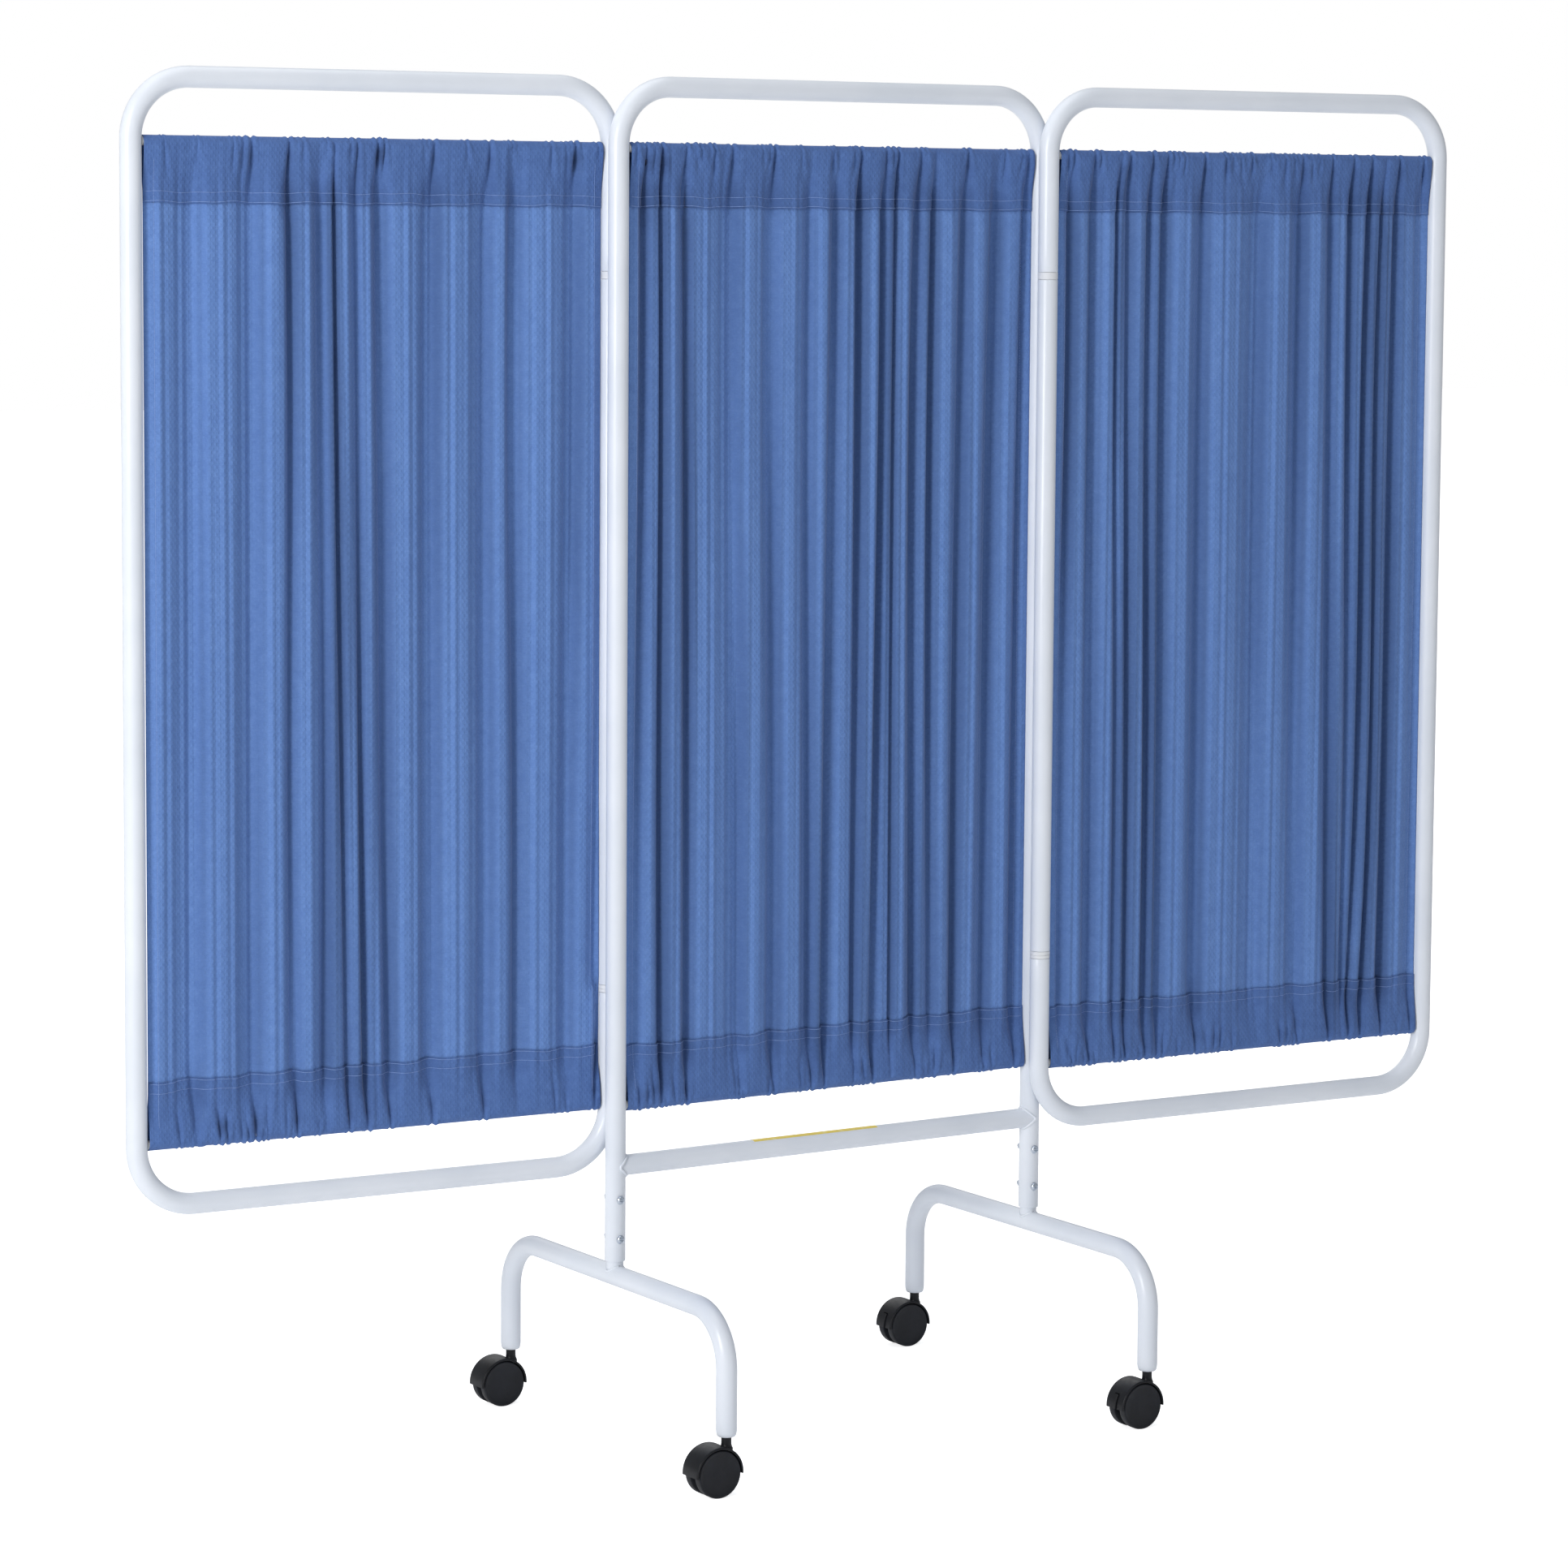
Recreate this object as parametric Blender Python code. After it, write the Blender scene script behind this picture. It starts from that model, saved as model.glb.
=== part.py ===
"""Three-panel folding curtain screen on castors.

Metres, +Z up.  The centre panel stands in the XZ plane; the two wings hang on
hinge tubes beside its uprights, the left one behind and the right one in front,
so the screen folds as a flat Z.
"""
import math

import bmesh
import bpy
from mathutils import Matrix
from mathutils import Vector

# ---- driving dimensions -------------------------------------------------
TUBE_OD = 0.025            # frame tube, outside diameter
TUBE_WALL = 0.0015
TUBE_SIDES = 16
SHARP_DEG = 35.0
CENTRE_WIDTH = 0.6138      # between the axes of the two centre uprights
WING_WIDTH = 0.6040        # hinge axis to the axis of the outer upright
TOP_RAIL_Z = 1.6345        # axis of all three top rails
BOTTOM_RAIL_Z = 0.3437     # axis of the crossbar and both wing bottom rails
BEND_RADIUS = 0.070        # centreline radius of the frame corners
BEND_STEPS = 4
UPRIGHT_END_Z = 0.2285     # open lower end of each centre upright
PANEL_X = -0.00032         # middle of the centre panel in the part frame
PANEL_Y = 0.0

HINGE_SPACING = 0.0254     # hinge tube axis to upright axis
HINGE_INWARD_DEG = 10.0    # hinge tube sits this far round towards the panel middle
LEFT_WING_DEG = 4.1        # left wing end swung back from straight
RIGHT_WING_DEG = 3.1       # right wing end swung forward from straight
UPPER_COLLAR_Z = (1.4075, 1.4165)
LOWER_COLLAR_Z = (0.5525, 0.5615)
COLLAR_GAP = 0.0003
SPIGOT_REACH = 0.030       # collar spigot length inside each tube

LEG_SIDES = 12
LEG_HALF_SPAN = 0.2536     # castor stem axis to the panel plane
LEG_BAR_Z = 0.2103         # axis of the raised bar of each leg
LEG_BEND_RADIUS = 0.065
LEG_END_Z = 0.0687         # lower end of the leg tubes
LEG_SPIGOT_OD = 0.0208
LEG_SPIGOT_TOP_Z = 0.3240
BOLT_Z = (0.2560, 0.3040)
BOLT_SHANK = 0.0060
BOLT_HOLE = 0.0068

ROD_OD = 0.0070            # curtain rods
ROD_TOP_Z = 1.5620
ROD_BOTTOM_Z = 0.4165
CLIP_OD = 0.0104
CLIP_BORE = 0.0078
CLIP_REACH = 0.0190        # clip mouth, from the upright axis
CURTAIN_EDGE = 0.0142      # curtain edge, from the upright axis
CURTAIN_THICK = 0.0012
CURTAIN_FOLDS = 12
CURTAIN_SWING = 0.0060     # fold height to each side of the panel plane
FOLD_STEPS = 4
CASING_BORE = 0.0114       # square passage for rod and clips in each hem

WHEEL_OD = 0.0566
WHEEL_WIDTH = 0.0112
WHEEL_SIDES = 20
WHEEL_GAP = 0.0005
AXLE_OD = 0.0060
CASTOR_TRAIL = 0.0180      # stem axis to axle axis
HOOD_RADIUS = 0.0320
HOOD_WIDTH = 0.0340
HOOD_BORE_RADIUS = 0.0294
HOOD_WEB = 0.0092          # centre web between the twin wheels
STEM_OD = 0.0110
STEM_TOP_Z = 0.1080
LEVER_WIDTH = 0.0080
LEVER_ARC_DEG = (150.0, 182.0)
LEVER_RADII = (0.0270, 0.0338)


# ---- small mesh helpers -------------------------------------------------
def material(name, colour, metallic, roughness):
    """One plain surface for one sub-part."""
    mat = bpy.data.materials.new(name)
    mat.use_nodes = True
    shader = mat.node_tree.nodes["Principled BSDF"]
    shader.inputs["Base Color"].default_value = (*colour, 1.0)
    shader.inputs["Metallic"].default_value = metallic
    shader.inputs["Roughness"].default_value = roughness
    return mat


COLOURS = {
    "powder_coat": ((0.80, 0.83, 0.88), 0.0, 0.35),
    "nylon": ((0.86, 0.87, 0.88), 0.0, 0.45),
    "clip": ((0.93, 0.93, 0.92), 0.0, 0.40),
    "rod": ((0.75, 0.76, 0.78), 0.9, 0.30),
    "fabric": ((0.10, 0.17, 0.40), 0.0, 0.90),
    "zinc": ((0.70, 0.72, 0.75), 1.0, 0.35),
    "black": ((0.020, 0.021, 0.025), 0.0, 0.45),
    "tread": ((0.030, 0.031, 0.035), 0.0, 0.60),
    "steel": ((0.60, 0.60, 0.62), 1.0, 0.35),
}


def shade(mesh):
    """Round surfaces smooth, real corners sharp."""
    mesh.shade_smooth()
    mesh.set_sharp_from_angle(angle=math.radians(SHARP_DEG))


def new_object(name, verts, faces, kind):
    """A named closed body with its own surface."""
    mesh = bpy.data.meshes.new(name)
    mesh.from_pydata([tuple(v) for v in verts], [], faces)
    mesh.validate()
    work = bmesh.new()
    work.from_mesh(mesh)
    bmesh.ops.recalc_face_normals(work, faces=work.faces)
    work.to_mesh(mesh)
    work.free()
    shade(mesh)
    obj = bpy.data.objects.new(name, mesh)
    bpy.context.scene.collection.objects.link(obj)
    if kind:
        colour, metallic, roughness = COLOURS[kind]
        mesh.materials.append(material(name + "_surface", colour, metallic, roughness))
    return obj


def even_radius(radius, sides):
    """Corner radius of a polygon that straddles the true circle."""
    return radius / math.sqrt(math.cos(math.pi / sides))


def ring_points(centre, across, up, radius, sides, stretch=1.0):
    """One ring of a tube; flats face the across and up directions."""
    points = []
    for k in range(sides):
        turn = 2.0 * math.pi * (k + 0.5) / sides
        side = across * (math.cos(turn) * radius)
        rise = up * (math.sin(turn) * radius * stretch)
        points.append(centre + side + rise)
    return points


def rings_to_faces(first, second, sides):
    """Quads between two rings given by their first vertex numbers."""
    faces = []
    for k in range(sides):
        nxt = (k + 1) % sides
        faces.append((first + k, first + nxt, second + nxt, second + k))
    return faces


def sweep_frames(path, normal):
    """Ring frame at each path point: (point, across, up, stretch)."""
    frames = []
    last = len(path) - 1
    for i, point in enumerate(path):
        before = (point - path[i - 1]).normalized() if i else None
        after = (path[i + 1] - point).normalized() if i < last else None
        ahead = after if before is None else before
        if before is not None and after is not None:
            ahead = (before + after).normalized()
            stretch = 1.0 / max(0.5, ahead.dot(after))
        else:
            stretch = 1.0
        frames.append((point, normal, ahead.cross(normal).normalized(), stretch))
    return frames


def tube(name, path, outer, inner, normal, kind, sides=TUBE_SIDES):
    """Open-ended hollow tube; outer and inner give a radius for every point."""
    frames = sweep_frames(path, normal)
    verts = []
    faces = []
    count = len(path)
    for radii in (outer, inner):
        for i, (point, across, up, stretch) in enumerate(frames):
            radius = even_radius(radii[i], sides)
            verts.extend(ring_points(point, across, up, radius, sides, stretch))
    for i in range(count - 1):
        faces.extend(rings_to_faces(i * sides, (i + 1) * sides, sides))
        low = (count + i) * sides
        faces.extend(rings_to_faces(low + sides, low, sides))
    faces.extend(rings_to_faces(count * sides, 0, sides))
    faces.extend(rings_to_faces((count - 1) * sides, (2 * count - 1) * sides, sides))
    return new_object(name, verts, faces, kind)


def arc(centre, start, end, radius, first_deg, last_deg, steps):
    """Points of a bend; start and end are unit vectors spanning its plane."""
    points = []
    for i in range(steps + 1):
        turn = math.radians(first_deg + (last_deg - first_deg) * i / steps)
        points.append(centre + start * (math.cos(turn) * radius) + end * (math.sin(turn) * radius))
    return points


def lathe(name, profile, origin, axis, kind, sides):
    """Solid of revolution; profile is (radius, distance along axis) pairs."""
    axis = axis.normalized()
    across = Vector((0.0, 0.0, 1.0)).cross(axis)
    if across.length < 1e-6:
        across = Vector((1.0, 0.0, 0.0))
    across.normalize()
    up = axis.cross(across)
    verts = []
    faces = []
    for radius, along in profile:
        size = even_radius(radius, sides)
        verts.extend(ring_points(origin + axis * along, across, up, size, sides))
    for i in range(len(profile) - 1):
        faces.extend(rings_to_faces(i * sides, (i + 1) * sides, sides))
    faces.append(tuple(range(sides)))
    faces.append(tuple((len(profile) - 1) * sides + k for k in reversed(range(sides))))
    return new_object(name, verts, faces, kind)


def ring_solid(name, profile, origin, axis, kind, sides):
    """Closed ring of revolution; the last profile point joins the first."""
    axis = axis.normalized()
    across = Vector((0.0, 0.0, 1.0)).cross(axis)
    if across.length < 1e-6:
        across = Vector((1.0, 0.0, 0.0))
    across.normalize()
    up = axis.cross(across)
    verts = []
    faces = []
    for radius, along in profile:
        size = even_radius(radius, sides)
        verts.extend(ring_points(origin + axis * along, across, up, size, sides))
    count = len(profile)
    for i in range(count):
        faces.extend(rings_to_faces(i * sides, ((i + 1) % count) * sides, sides))
    return new_object(name, verts, faces, kind)


def extrude_y(name, outline, origin, width, kind):
    """Flat outline in X and Z, given as (x, z) pairs, thickened evenly along Y."""
    verts = []
    for side in (-0.5, 0.5):
        for x, z in outline:
            verts.append(origin + Vector((x, side * width, z)))
    count = len(outline)
    faces = [tuple(range(count))]
    faces.append(tuple(count + k for k in reversed(range(count))))
    for k in range(count):
        nxt = (k + 1) % count
        faces.append((k, count + k, count + nxt, nxt))
    return new_object(name, verts, faces, kind)


def combine(target, tool, operation):
    """Exact boolean of two closed bodies; the tool is used up."""
    step = target.modifiers.new("shape", "BOOLEAN")
    step.solver = "EXACT"
    step.operation = operation
    step.object = tool
    bpy.context.view_layer.update()
    graph = bpy.context.evaluated_depsgraph_get()
    shaped = bpy.data.meshes.new_from_object(target.evaluated_get(graph))
    target.modifiers.clear()
    old = target.data
    surfaces = [slot for slot in old.materials]
    target.data = shaped
    shaped.materials.clear()
    for surface in surfaces:
        shaped.materials.append(surface)
    for polygon in shaped.polygons:
        polygon.material_index = 0
    shade(shaped)
    bpy.data.objects.remove(tool, do_unlink=True)


def joint_axis(name, place, parent):
    """Empty on a joint's axis; what moves there is parented to it."""
    empty = bpy.data.objects.new(name, None)
    empty.empty_display_size = 0.03
    bpy.context.scene.collection.objects.link(empty)
    empty.parent = parent
    empty.location = place - (parent.matrix_world.translation if parent else Vector())
    bpy.context.view_layer.update()
    return empty


def hang(obj, empty):
    """Parent an object to a joint axis and leave it where it is."""
    obj.parent = empty
    obj.matrix_parent_inverse = empty.matrix_world.inverted()


# ---- layout -------------------------------------------------------------
TUBE_R = TUBE_OD / 2.0
BORE_R = TUBE_R - TUBE_WALL
UP = Vector((0.0, 0.0, 1.0))
HALF = CENTRE_WIDTH / 2.0


def on_panel(x, y, z):
    """A point given from the middle of the centre panel."""
    return Vector((PANEL_X + x, PANEL_Y + y, z))


def hinge_foot(side):
    """Hinge axis at floor level; side is -1 for the left wing, +1 for the right."""
    turn = math.radians(HINGE_INWARD_DEG)
    inward = HINGE_SPACING * math.sin(turn)
    across = HINGE_SPACING * math.cos(turn)
    return on_panel(side * (HALF - inward), -side * across, 0.0)


def wing_direction(side):
    """Unit vector from the hinge axis to the outer upright."""
    turn = math.radians(LEFT_WING_DEG if side < 0 else RIGHT_WING_DEG)
    return Vector((side * math.cos(turn), -side * math.sin(turn), 0.0))


# ---- frames -------------------------------------------------------------
def drill_upright(frame, x):
    """Two through holes for the leg bolts."""
    for z in BOLT_Z:
        start = on_panel(x, -0.020, z)
        profile = [(BOLT_HOLE / 2.0, 0.0), (BOLT_HOLE / 2.0, 0.040)]
        drill = lathe("drill", profile, start, Vector((0.0, 1.0, 0.0)), None, 12)
        combine(frame, drill, "DIFFERENCE")


def centre_hoop():
    """Inverted U of tube with open lower ends."""
    path = [on_panel(-HALF, 0.0, UPRIGHT_END_Z)]
    side = Vector((1.0, 0.0, 0.0))
    left = on_panel(-HALF + BEND_RADIUS, 0.0, TOP_RAIL_Z - BEND_RADIUS)
    right = on_panel(HALF - BEND_RADIUS, 0.0, TOP_RAIL_Z - BEND_RADIUS)
    path.extend(arc(left, side, UP, BEND_RADIUS, 180.0, 90.0, BEND_STEPS))
    path.extend(arc(right, side, UP, BEND_RADIUS, 90.0, 0.0, BEND_STEPS))
    path.append(on_panel(HALF, 0.0, UPRIGHT_END_Z))
    count = len(path)
    normal = Vector((0.0, 1.0, 0.0))
    hoop = tube("centre_hoop", path, [TUBE_R] * count, [BORE_R] * count, normal, "powder_coat")
    drill_upright(hoop, -HALF)
    drill_upright(hoop, HALF)
    return hoop


def crossbar():
    """Straight tube coped to fit against both uprights."""
    path = [on_panel(-HALF + 0.002, 0.0, BOTTOM_RAIL_Z), on_panel(HALF - 0.002, 0.0, BOTTOM_RAIL_Z)]
    normal = Vector((0.0, 1.0, 0.0))
    bar = tube("crossbar", path, [TUBE_R] * 2, [BORE_R] * 2, normal, "powder_coat")
    for x in (-HALF, HALF):
        cope = lathe("cope", [(TUBE_R + 0.0004, -0.03), (TUBE_R + 0.0004, 0.03)],
                     on_panel(x, 0.0, BOTTOM_RAIL_Z), UP, None, TUBE_SIDES)
        combine(bar, cope, "DIFFERENCE")
    return bar


def wing_frame(name, side):
    """Round-cornered frame whose inner upright is only two short stubs."""
    foot = hinge_foot(side)
    out = wing_direction(side)
    reach = WING_WIDTH - BEND_RADIUS
    top = TOP_RAIL_Z - BEND_RADIUS
    low = BOTTOM_RAIL_Z + BEND_RADIUS
    path = [foot + UP * (UPPER_COLLAR_Z[1] + COLLAR_GAP)]
    path.extend(arc(foot + out * BEND_RADIUS + UP * top, out, UP, BEND_RADIUS, 180.0, 90.0, BEND_STEPS))
    path.extend(arc(foot + out * reach + UP * top, out, UP, BEND_RADIUS, 90.0, 0.0, BEND_STEPS))
    path.extend(arc(foot + out * reach + UP * low, out, UP, BEND_RADIUS, 0.0, -90.0, BEND_STEPS))
    path.extend(arc(foot + out * BEND_RADIUS + UP * low, out, UP, BEND_RADIUS, 270.0, 180.0, BEND_STEPS))
    path.append(foot + UP * (LOWER_COLLAR_Z[0] - COLLAR_GAP))
    count = len(path)
    normal = out.cross(UP).normalized()
    return tube(name, path, [TUBE_R] * count, [BORE_R] * count, normal, "powder_coat")


def hinge_post(name, side):
    """Fixed middle length of the hinge tube, beside the centre upright."""
    foot = hinge_foot(side)
    low = LOWER_COLLAR_Z[1] + COLLAR_GAP
    high = UPPER_COLLAR_Z[0] - COLLAR_GAP
    path = [foot + UP * low, foot + UP * high]
    return tube(name, path, [TUBE_R] * 2, [BORE_R] * 2, Vector((0.0, 1.0, 0.0)), "powder_coat")


def hinge_collar(name, side, span, split):
    """Nylon collar with a spigot up and a spigot down."""
    low, high = span
    pin = 0.0104
    profile = [(pin, low - SPIGOT_REACH), (pin, low), (TUBE_R, low)]
    if split:
        middle = (low + high) / 2.0
        profile.extend([(TUBE_R, middle - 0.0003), (TUBE_R - 0.0008, middle - 0.0003)])
        profile.extend([(TUBE_R - 0.0008, middle + 0.0003), (TUBE_R, middle + 0.0003)])
    profile.extend([(TUBE_R, high), (pin, high), (pin, high + SPIGOT_REACH)])
    return lathe(name, profile, hinge_foot(side), UP, "nylon", TUBE_SIDES)


# ---- legs ---------------------------------------------------------------
def leg_bow(name, x):
    """Raised bar with a castor leg at each end and a spigot for the upright."""
    forward = Vector((0.0, 1.0, 0.0))
    reach = LEG_HALF_SPAN - LEG_BEND_RADIUS
    bend_z = LEG_BAR_Z - LEG_BEND_RADIUS
    path = [on_panel(x, -LEG_HALF_SPAN, LEG_END_Z)]
    path.append(path[0] + UP * 0.0040)
    path.append(path[0] + UP * 0.0075)
    path.extend(arc(on_panel(x, -reach, bend_z), forward, UP, LEG_BEND_RADIUS, 180.0, 90.0, BEND_STEPS))
    path.extend(arc(on_panel(x, reach, bend_z), forward, UP, LEG_BEND_RADIUS, 90.0, 0.0, BEND_STEPS))
    end = on_panel(x, LEG_HALF_SPAN, LEG_END_Z)
    path.append(end + UP * 0.0075)
    path.append(end + UP * 0.0040)
    path.append(end)
    middle = len(path) - 6
    socket = STEM_OD / 2.0 + 0.0005
    outer = [TUBE_R - 0.0022, TUBE_R - 0.0004] + [TUBE_R] * (middle + 2)
    outer += [TUBE_R - 0.0004, TUBE_R - 0.0022]
    inner = [socket, socket] + [BORE_R] * (middle + 2) + [socket, socket]
    bow = tube(name, path, outer, inner, Vector((1.0, 0.0, 0.0)), "powder_coat", LEG_SIDES)
    spigot_wall = LEG_SPIGOT_OD / 2.0
    base = on_panel(x, 0.0, LEG_BAR_Z)
    stub = lathe("stub", [(spigot_wall, 0.0118), (spigot_wall, LEG_SPIGOT_TOP_Z - LEG_BAR_Z)],
                 base, UP, None, TUBE_SIDES)
    combine(bow, stub, "UNION")
    core = spigot_wall - 0.0018
    hollow = lathe("hollow", [(core, 0.0), (core, 0.2)], base, UP, None, TUBE_SIDES)
    combine(bow, hollow, "DIFFERENCE")
    drill_upright(bow, x)
    return bow


def leg_bolt(name, x, z):
    """Pan-head machine screw through upright and spigot."""
    shank = BOLT_SHANK / 2.0
    profile = [(0.0030, -0.0162), (0.0047, -0.0153), (0.0054, -0.0136), (0.0054, -0.0128)]
    profile += [(shank, -0.0128), (shank, 0.0212), (shank - 0.0006, 0.0218)]
    return lathe(name, profile, on_panel(x, 0.0, z), Vector((0.0, 1.0, 0.0)), "zinc", 10)


def leg_nut(name, x, z):
    """Hexagon nut behind the upright."""
    bore = BOLT_SHANK / 2.0 + 0.0003
    axis = Vector((0.0, 1.0, 0.0))
    body = lathe(name, [(0.0054, 0.0128), (0.0054, 0.0178)], on_panel(x, 0.0, z), axis, "zinc", 6)
    hole = lathe("hole", [(bore, 0.010), (bore, 0.020)], on_panel(x, 0.0, z), axis, None, 12)
    combine(body, hole, "DIFFERENCE")
    return body


# ---- curtains -----------------------------------------------------------
def curtain_rod(name, foot, out, width, z):
    """Straight rod between two clips."""
    radius = ROD_OD / 2.0
    start = CLIP_REACH - 0.0035
    profile = [(radius, start), (radius, width - start)]
    return lathe(name, profile, foot + UP * z, out, "rod", 8)


def rod_clip(name, foot, out, z):
    """Cup on the upright that takes one rod end."""
    rim = CLIP_OD / 2.0
    bore = CLIP_BORE / 2.0
    back = TUBE_R + 0.0006
    profile = [(rim, back), (rim, CLIP_REACH), (bore, CLIP_REACH), (bore, back + 0.0018)]
    return lathe(name, profile, foot + UP * z, out, "clip", 8)


def fold_line(width):
    """Distance along the panel and swing of the cloth at each fold step."""
    line = []
    span = width - 2.0 * CURTAIN_EDGE
    count = CURTAIN_FOLDS * FOLD_STEPS
    for i in range(count + 1):
        along = CURTAIN_EDGE + span * i / count
        swing = CURTAIN_SWING * math.cos(2.0 * math.pi * i / FOLD_STEPS)
        line.append((along, swing))
    return line


def hem_casing(name, foot, out, width, z, kind):
    """Square tunnel of cloth that the rod and its clips run through."""
    across = out.cross(UP).normalized()
    inner = CASING_BORE / 2.0
    outer = inner + CURTAIN_THICK
    verts = []
    for along in (CURTAIN_EDGE, width - CURTAIN_EDGE):
        for size in (outer, inner):
            for y, rise in ((-1, -1), (1, -1), (1, 1), (-1, 1)):
                verts.append(foot + out * along + across * (y * size) + UP * (z + rise * size))
    faces = []
    faces.extend(rings_to_faces(0, 8, 4))
    faces.extend(rings_to_faces(12, 4, 4))
    faces.extend(rings_to_faces(4, 0, 4))
    faces.extend(rings_to_faces(8, 12, 4))
    return new_object(name, verts, faces, kind)


def folded_sheet(name, foot, out, width, low, high):
    """Evenly folded cloth of one thickness between two heights."""
    across = out.cross(UP).normalized()
    line = fold_line(width)
    last = len(line) - 1
    verts = []
    for offset in (-0.5, 0.5):
        for z in (low, high):
            for i, (along, swing) in enumerate(line):
                before = line[max(i - 1, 0)]
                after = line[min(i + 1, last)]
                run = Vector((after[0] - before[0], after[1] - before[1], 0.0)).normalized()
                shift = offset * CURTAIN_THICK
                place = foot + out * (along - run.y * shift) + across * (swing + run.x * shift)
                verts.append(place + UP * z)
    count = last + 1
    faces = []
    for i in range(last):
        top = count + i
        faces.append((i, i + 1, top + 1, top))
        faces.append((2 * count + i, 2 * count + top, 2 * count + top + 1, 2 * count + i + 1))
        faces.append((i, 2 * count + i, 2 * count + i + 1, i + 1))
        faces.append((top, top + 1, 2 * count + top + 1, 2 * count + top))
    for i in (0, last):
        faces.append((i, count + i, 3 * count + i, 2 * count + i))
    return new_object(name, verts, faces, "fabric")


def curtain(name, foot, out, width):
    """Gathered cloth: a folded sheet closed by a rod casing at each end."""
    wall = CASING_BORE / 2.0 + CURTAIN_THICK / 2.0
    cloth = folded_sheet(name, foot, out, width, ROD_BOTTOM_Z + wall, ROD_TOP_Z - wall)
    for z in (ROD_BOTTOM_Z, ROD_TOP_Z):
        combine(cloth, hem_casing("casing", foot, out, width, z, None), "UNION")
    return cloth


def curtain_set(prefix, foot, out, width):
    """Rods, clips and cloth of one panel."""
    far = foot + out * width
    pieces = []
    for level, z in (("top", ROD_TOP_Z), ("bottom", ROD_BOTTOM_Z)):
        pieces.append(curtain_rod(f"{prefix}_rod_{level}", foot, out, width, z))
        pieces.append(rod_clip(f"{prefix}_clip_{level}_a", foot, out, z))
        pieces.append(rod_clip(f"{prefix}_clip_{level}_b", far, -out, z))
    pieces.append(curtain(f"{prefix}_curtain", foot, out, width))
    return pieces


# ---- castors ------------------------------------------------------------
WHEEL_R = WHEEL_OD / 2.0
AXLE_Z = WHEEL_R


def axle_centre(stem):
    """Axle middle for a castor whose stem axis meets the floor at stem."""
    return stem + Vector((-CASTOR_TRAIL, 0.0, AXLE_Z))


def hood_outline():
    """Half disc over the wheels, with a short skirt of web below the axle."""
    points = []
    for i in range(17):
        turn = math.radians(-3.0 + 186.0 * i / 16)
        points.append((HOOD_RADIUS * math.cos(turn), HOOD_RADIUS * math.sin(turn)))
    points.append((-0.012, -0.0130))
    points.append((0.012, -0.0130))
    return points


def sector(inner, outer, first_deg, last_deg, steps):
    """Ring sector outline in X and Z."""
    points = []
    for i in range(steps + 1):
        turn = math.radians(first_deg + (last_deg - first_deg) * i / steps)
        points.append((outer * math.cos(turn), outer * math.sin(turn)))
    for i in range(steps + 1):
        turn = math.radians(last_deg + (first_deg - last_deg) * i / steps)
        points.append((inner * math.cos(turn), inner * math.sin(turn)))
    return points


def castor_hood(name, stem, braked):
    """Hood, web and stem of one castor; it turns on the stem axis."""
    hub = axle_centre(stem)
    forward = Vector((0.0, 1.0, 0.0))
    hood = extrude_y(name, hood_outline(), hub, HOOD_WIDTH, "black")
    boss = lathe("boss", [(0.0085, 0.0420), (0.0085, 0.0600), (0.0072, 0.0618)], stem, UP, None, 16)
    combine(hood, boss, "UNION")
    pin = STEM_OD / 2.0
    shank = lathe("shank", [(pin, 0.0450), (pin, STEM_TOP_Z - 0.002), (pin - 0.001, STEM_TOP_Z)],
                  stem, UP, None, 12)
    combine(hood, shank, "UNION")
    for side in (-1.0, 1.0):
        pocket = [(HOOD_BORE_RADIUS, HOOD_WEB / 2.0), (HOOD_BORE_RADIUS, HOOD_WIDTH)]
        tool = lathe("pocket", pocket, hub, forward * side, None, 24)
        combine(hood, tool, "DIFFERENCE")
    bore = AXLE_OD / 2.0 + 0.0003
    hole = lathe("hole", [(bore, -0.02), (bore, 0.02)], hub, forward, None, 12)
    combine(hood, hole, "DIFFERENCE")
    if braked:
        first, last = LEVER_ARC_DEG
        slot = sector(0.0262, 0.0360, first - 2.5, last + 20.0, 4)
        combine(hood, extrude_y("slot", slot, hub, LEVER_WIDTH + 0.0008, None), "DIFFERENCE")
    return hood


def castor_wheel(name, stem, side):
    """Plain disc wheel with a closed outer face and a blind axle bore."""
    inner = HOOD_WEB / 2.0 + WHEEL_GAP
    outer = inner + WHEEL_WIDTH
    bore = AXLE_OD / 2.0 + 0.0004
    profile = [(WHEEL_R - 0.0012, outer), (WHEEL_R, outer - 0.0014)]
    profile += [(WHEEL_R, inner + 0.0010), (WHEEL_R - 0.0010, inner), (bore, inner)]
    profile += [(bore, outer - 0.0030)]
    axis = Vector((0.0, float(side), 0.0))
    scale = math.sqrt(math.cos(math.pi / WHEEL_SIDES))
    snug = [(radius / scale, along) for radius, along in profile]
    return lathe(name, snug, axle_centre(stem), axis, "tread", WHEEL_SIDES)


def castor_axle(name, stem):
    """Steel pin through the web into both wheels."""
    reach = HOOD_WEB / 2.0 + WHEEL_GAP + WHEEL_WIDTH - 0.0040
    profile = [(AXLE_OD / 2.0, -reach), (AXLE_OD / 2.0, reach)]
    return lathe(name, profile, axle_centre(stem), Vector((0.0, 1.0, 0.0)), "steel", 12)


def brake_lever(name, stem):
    """Curved tab in the slot at the trailing side of the hood."""
    first, last = LEVER_ARC_DEG
    outline = sector(LEVER_RADII[0], LEVER_RADII[1], first, last, 4)
    return extrude_y(name, outline, axle_centre(stem), LEVER_WIDTH, "black")


def lever_pivot(stem):
    """Top end of the brake lever, where it hinges in its slot."""
    turn = math.radians(LEVER_ARC_DEG[0])
    radius = sum(LEVER_RADII) / 2.0
    return axle_centre(stem) + Vector((radius * math.cos(turn), 0.0, radius * math.sin(turn)))


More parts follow.
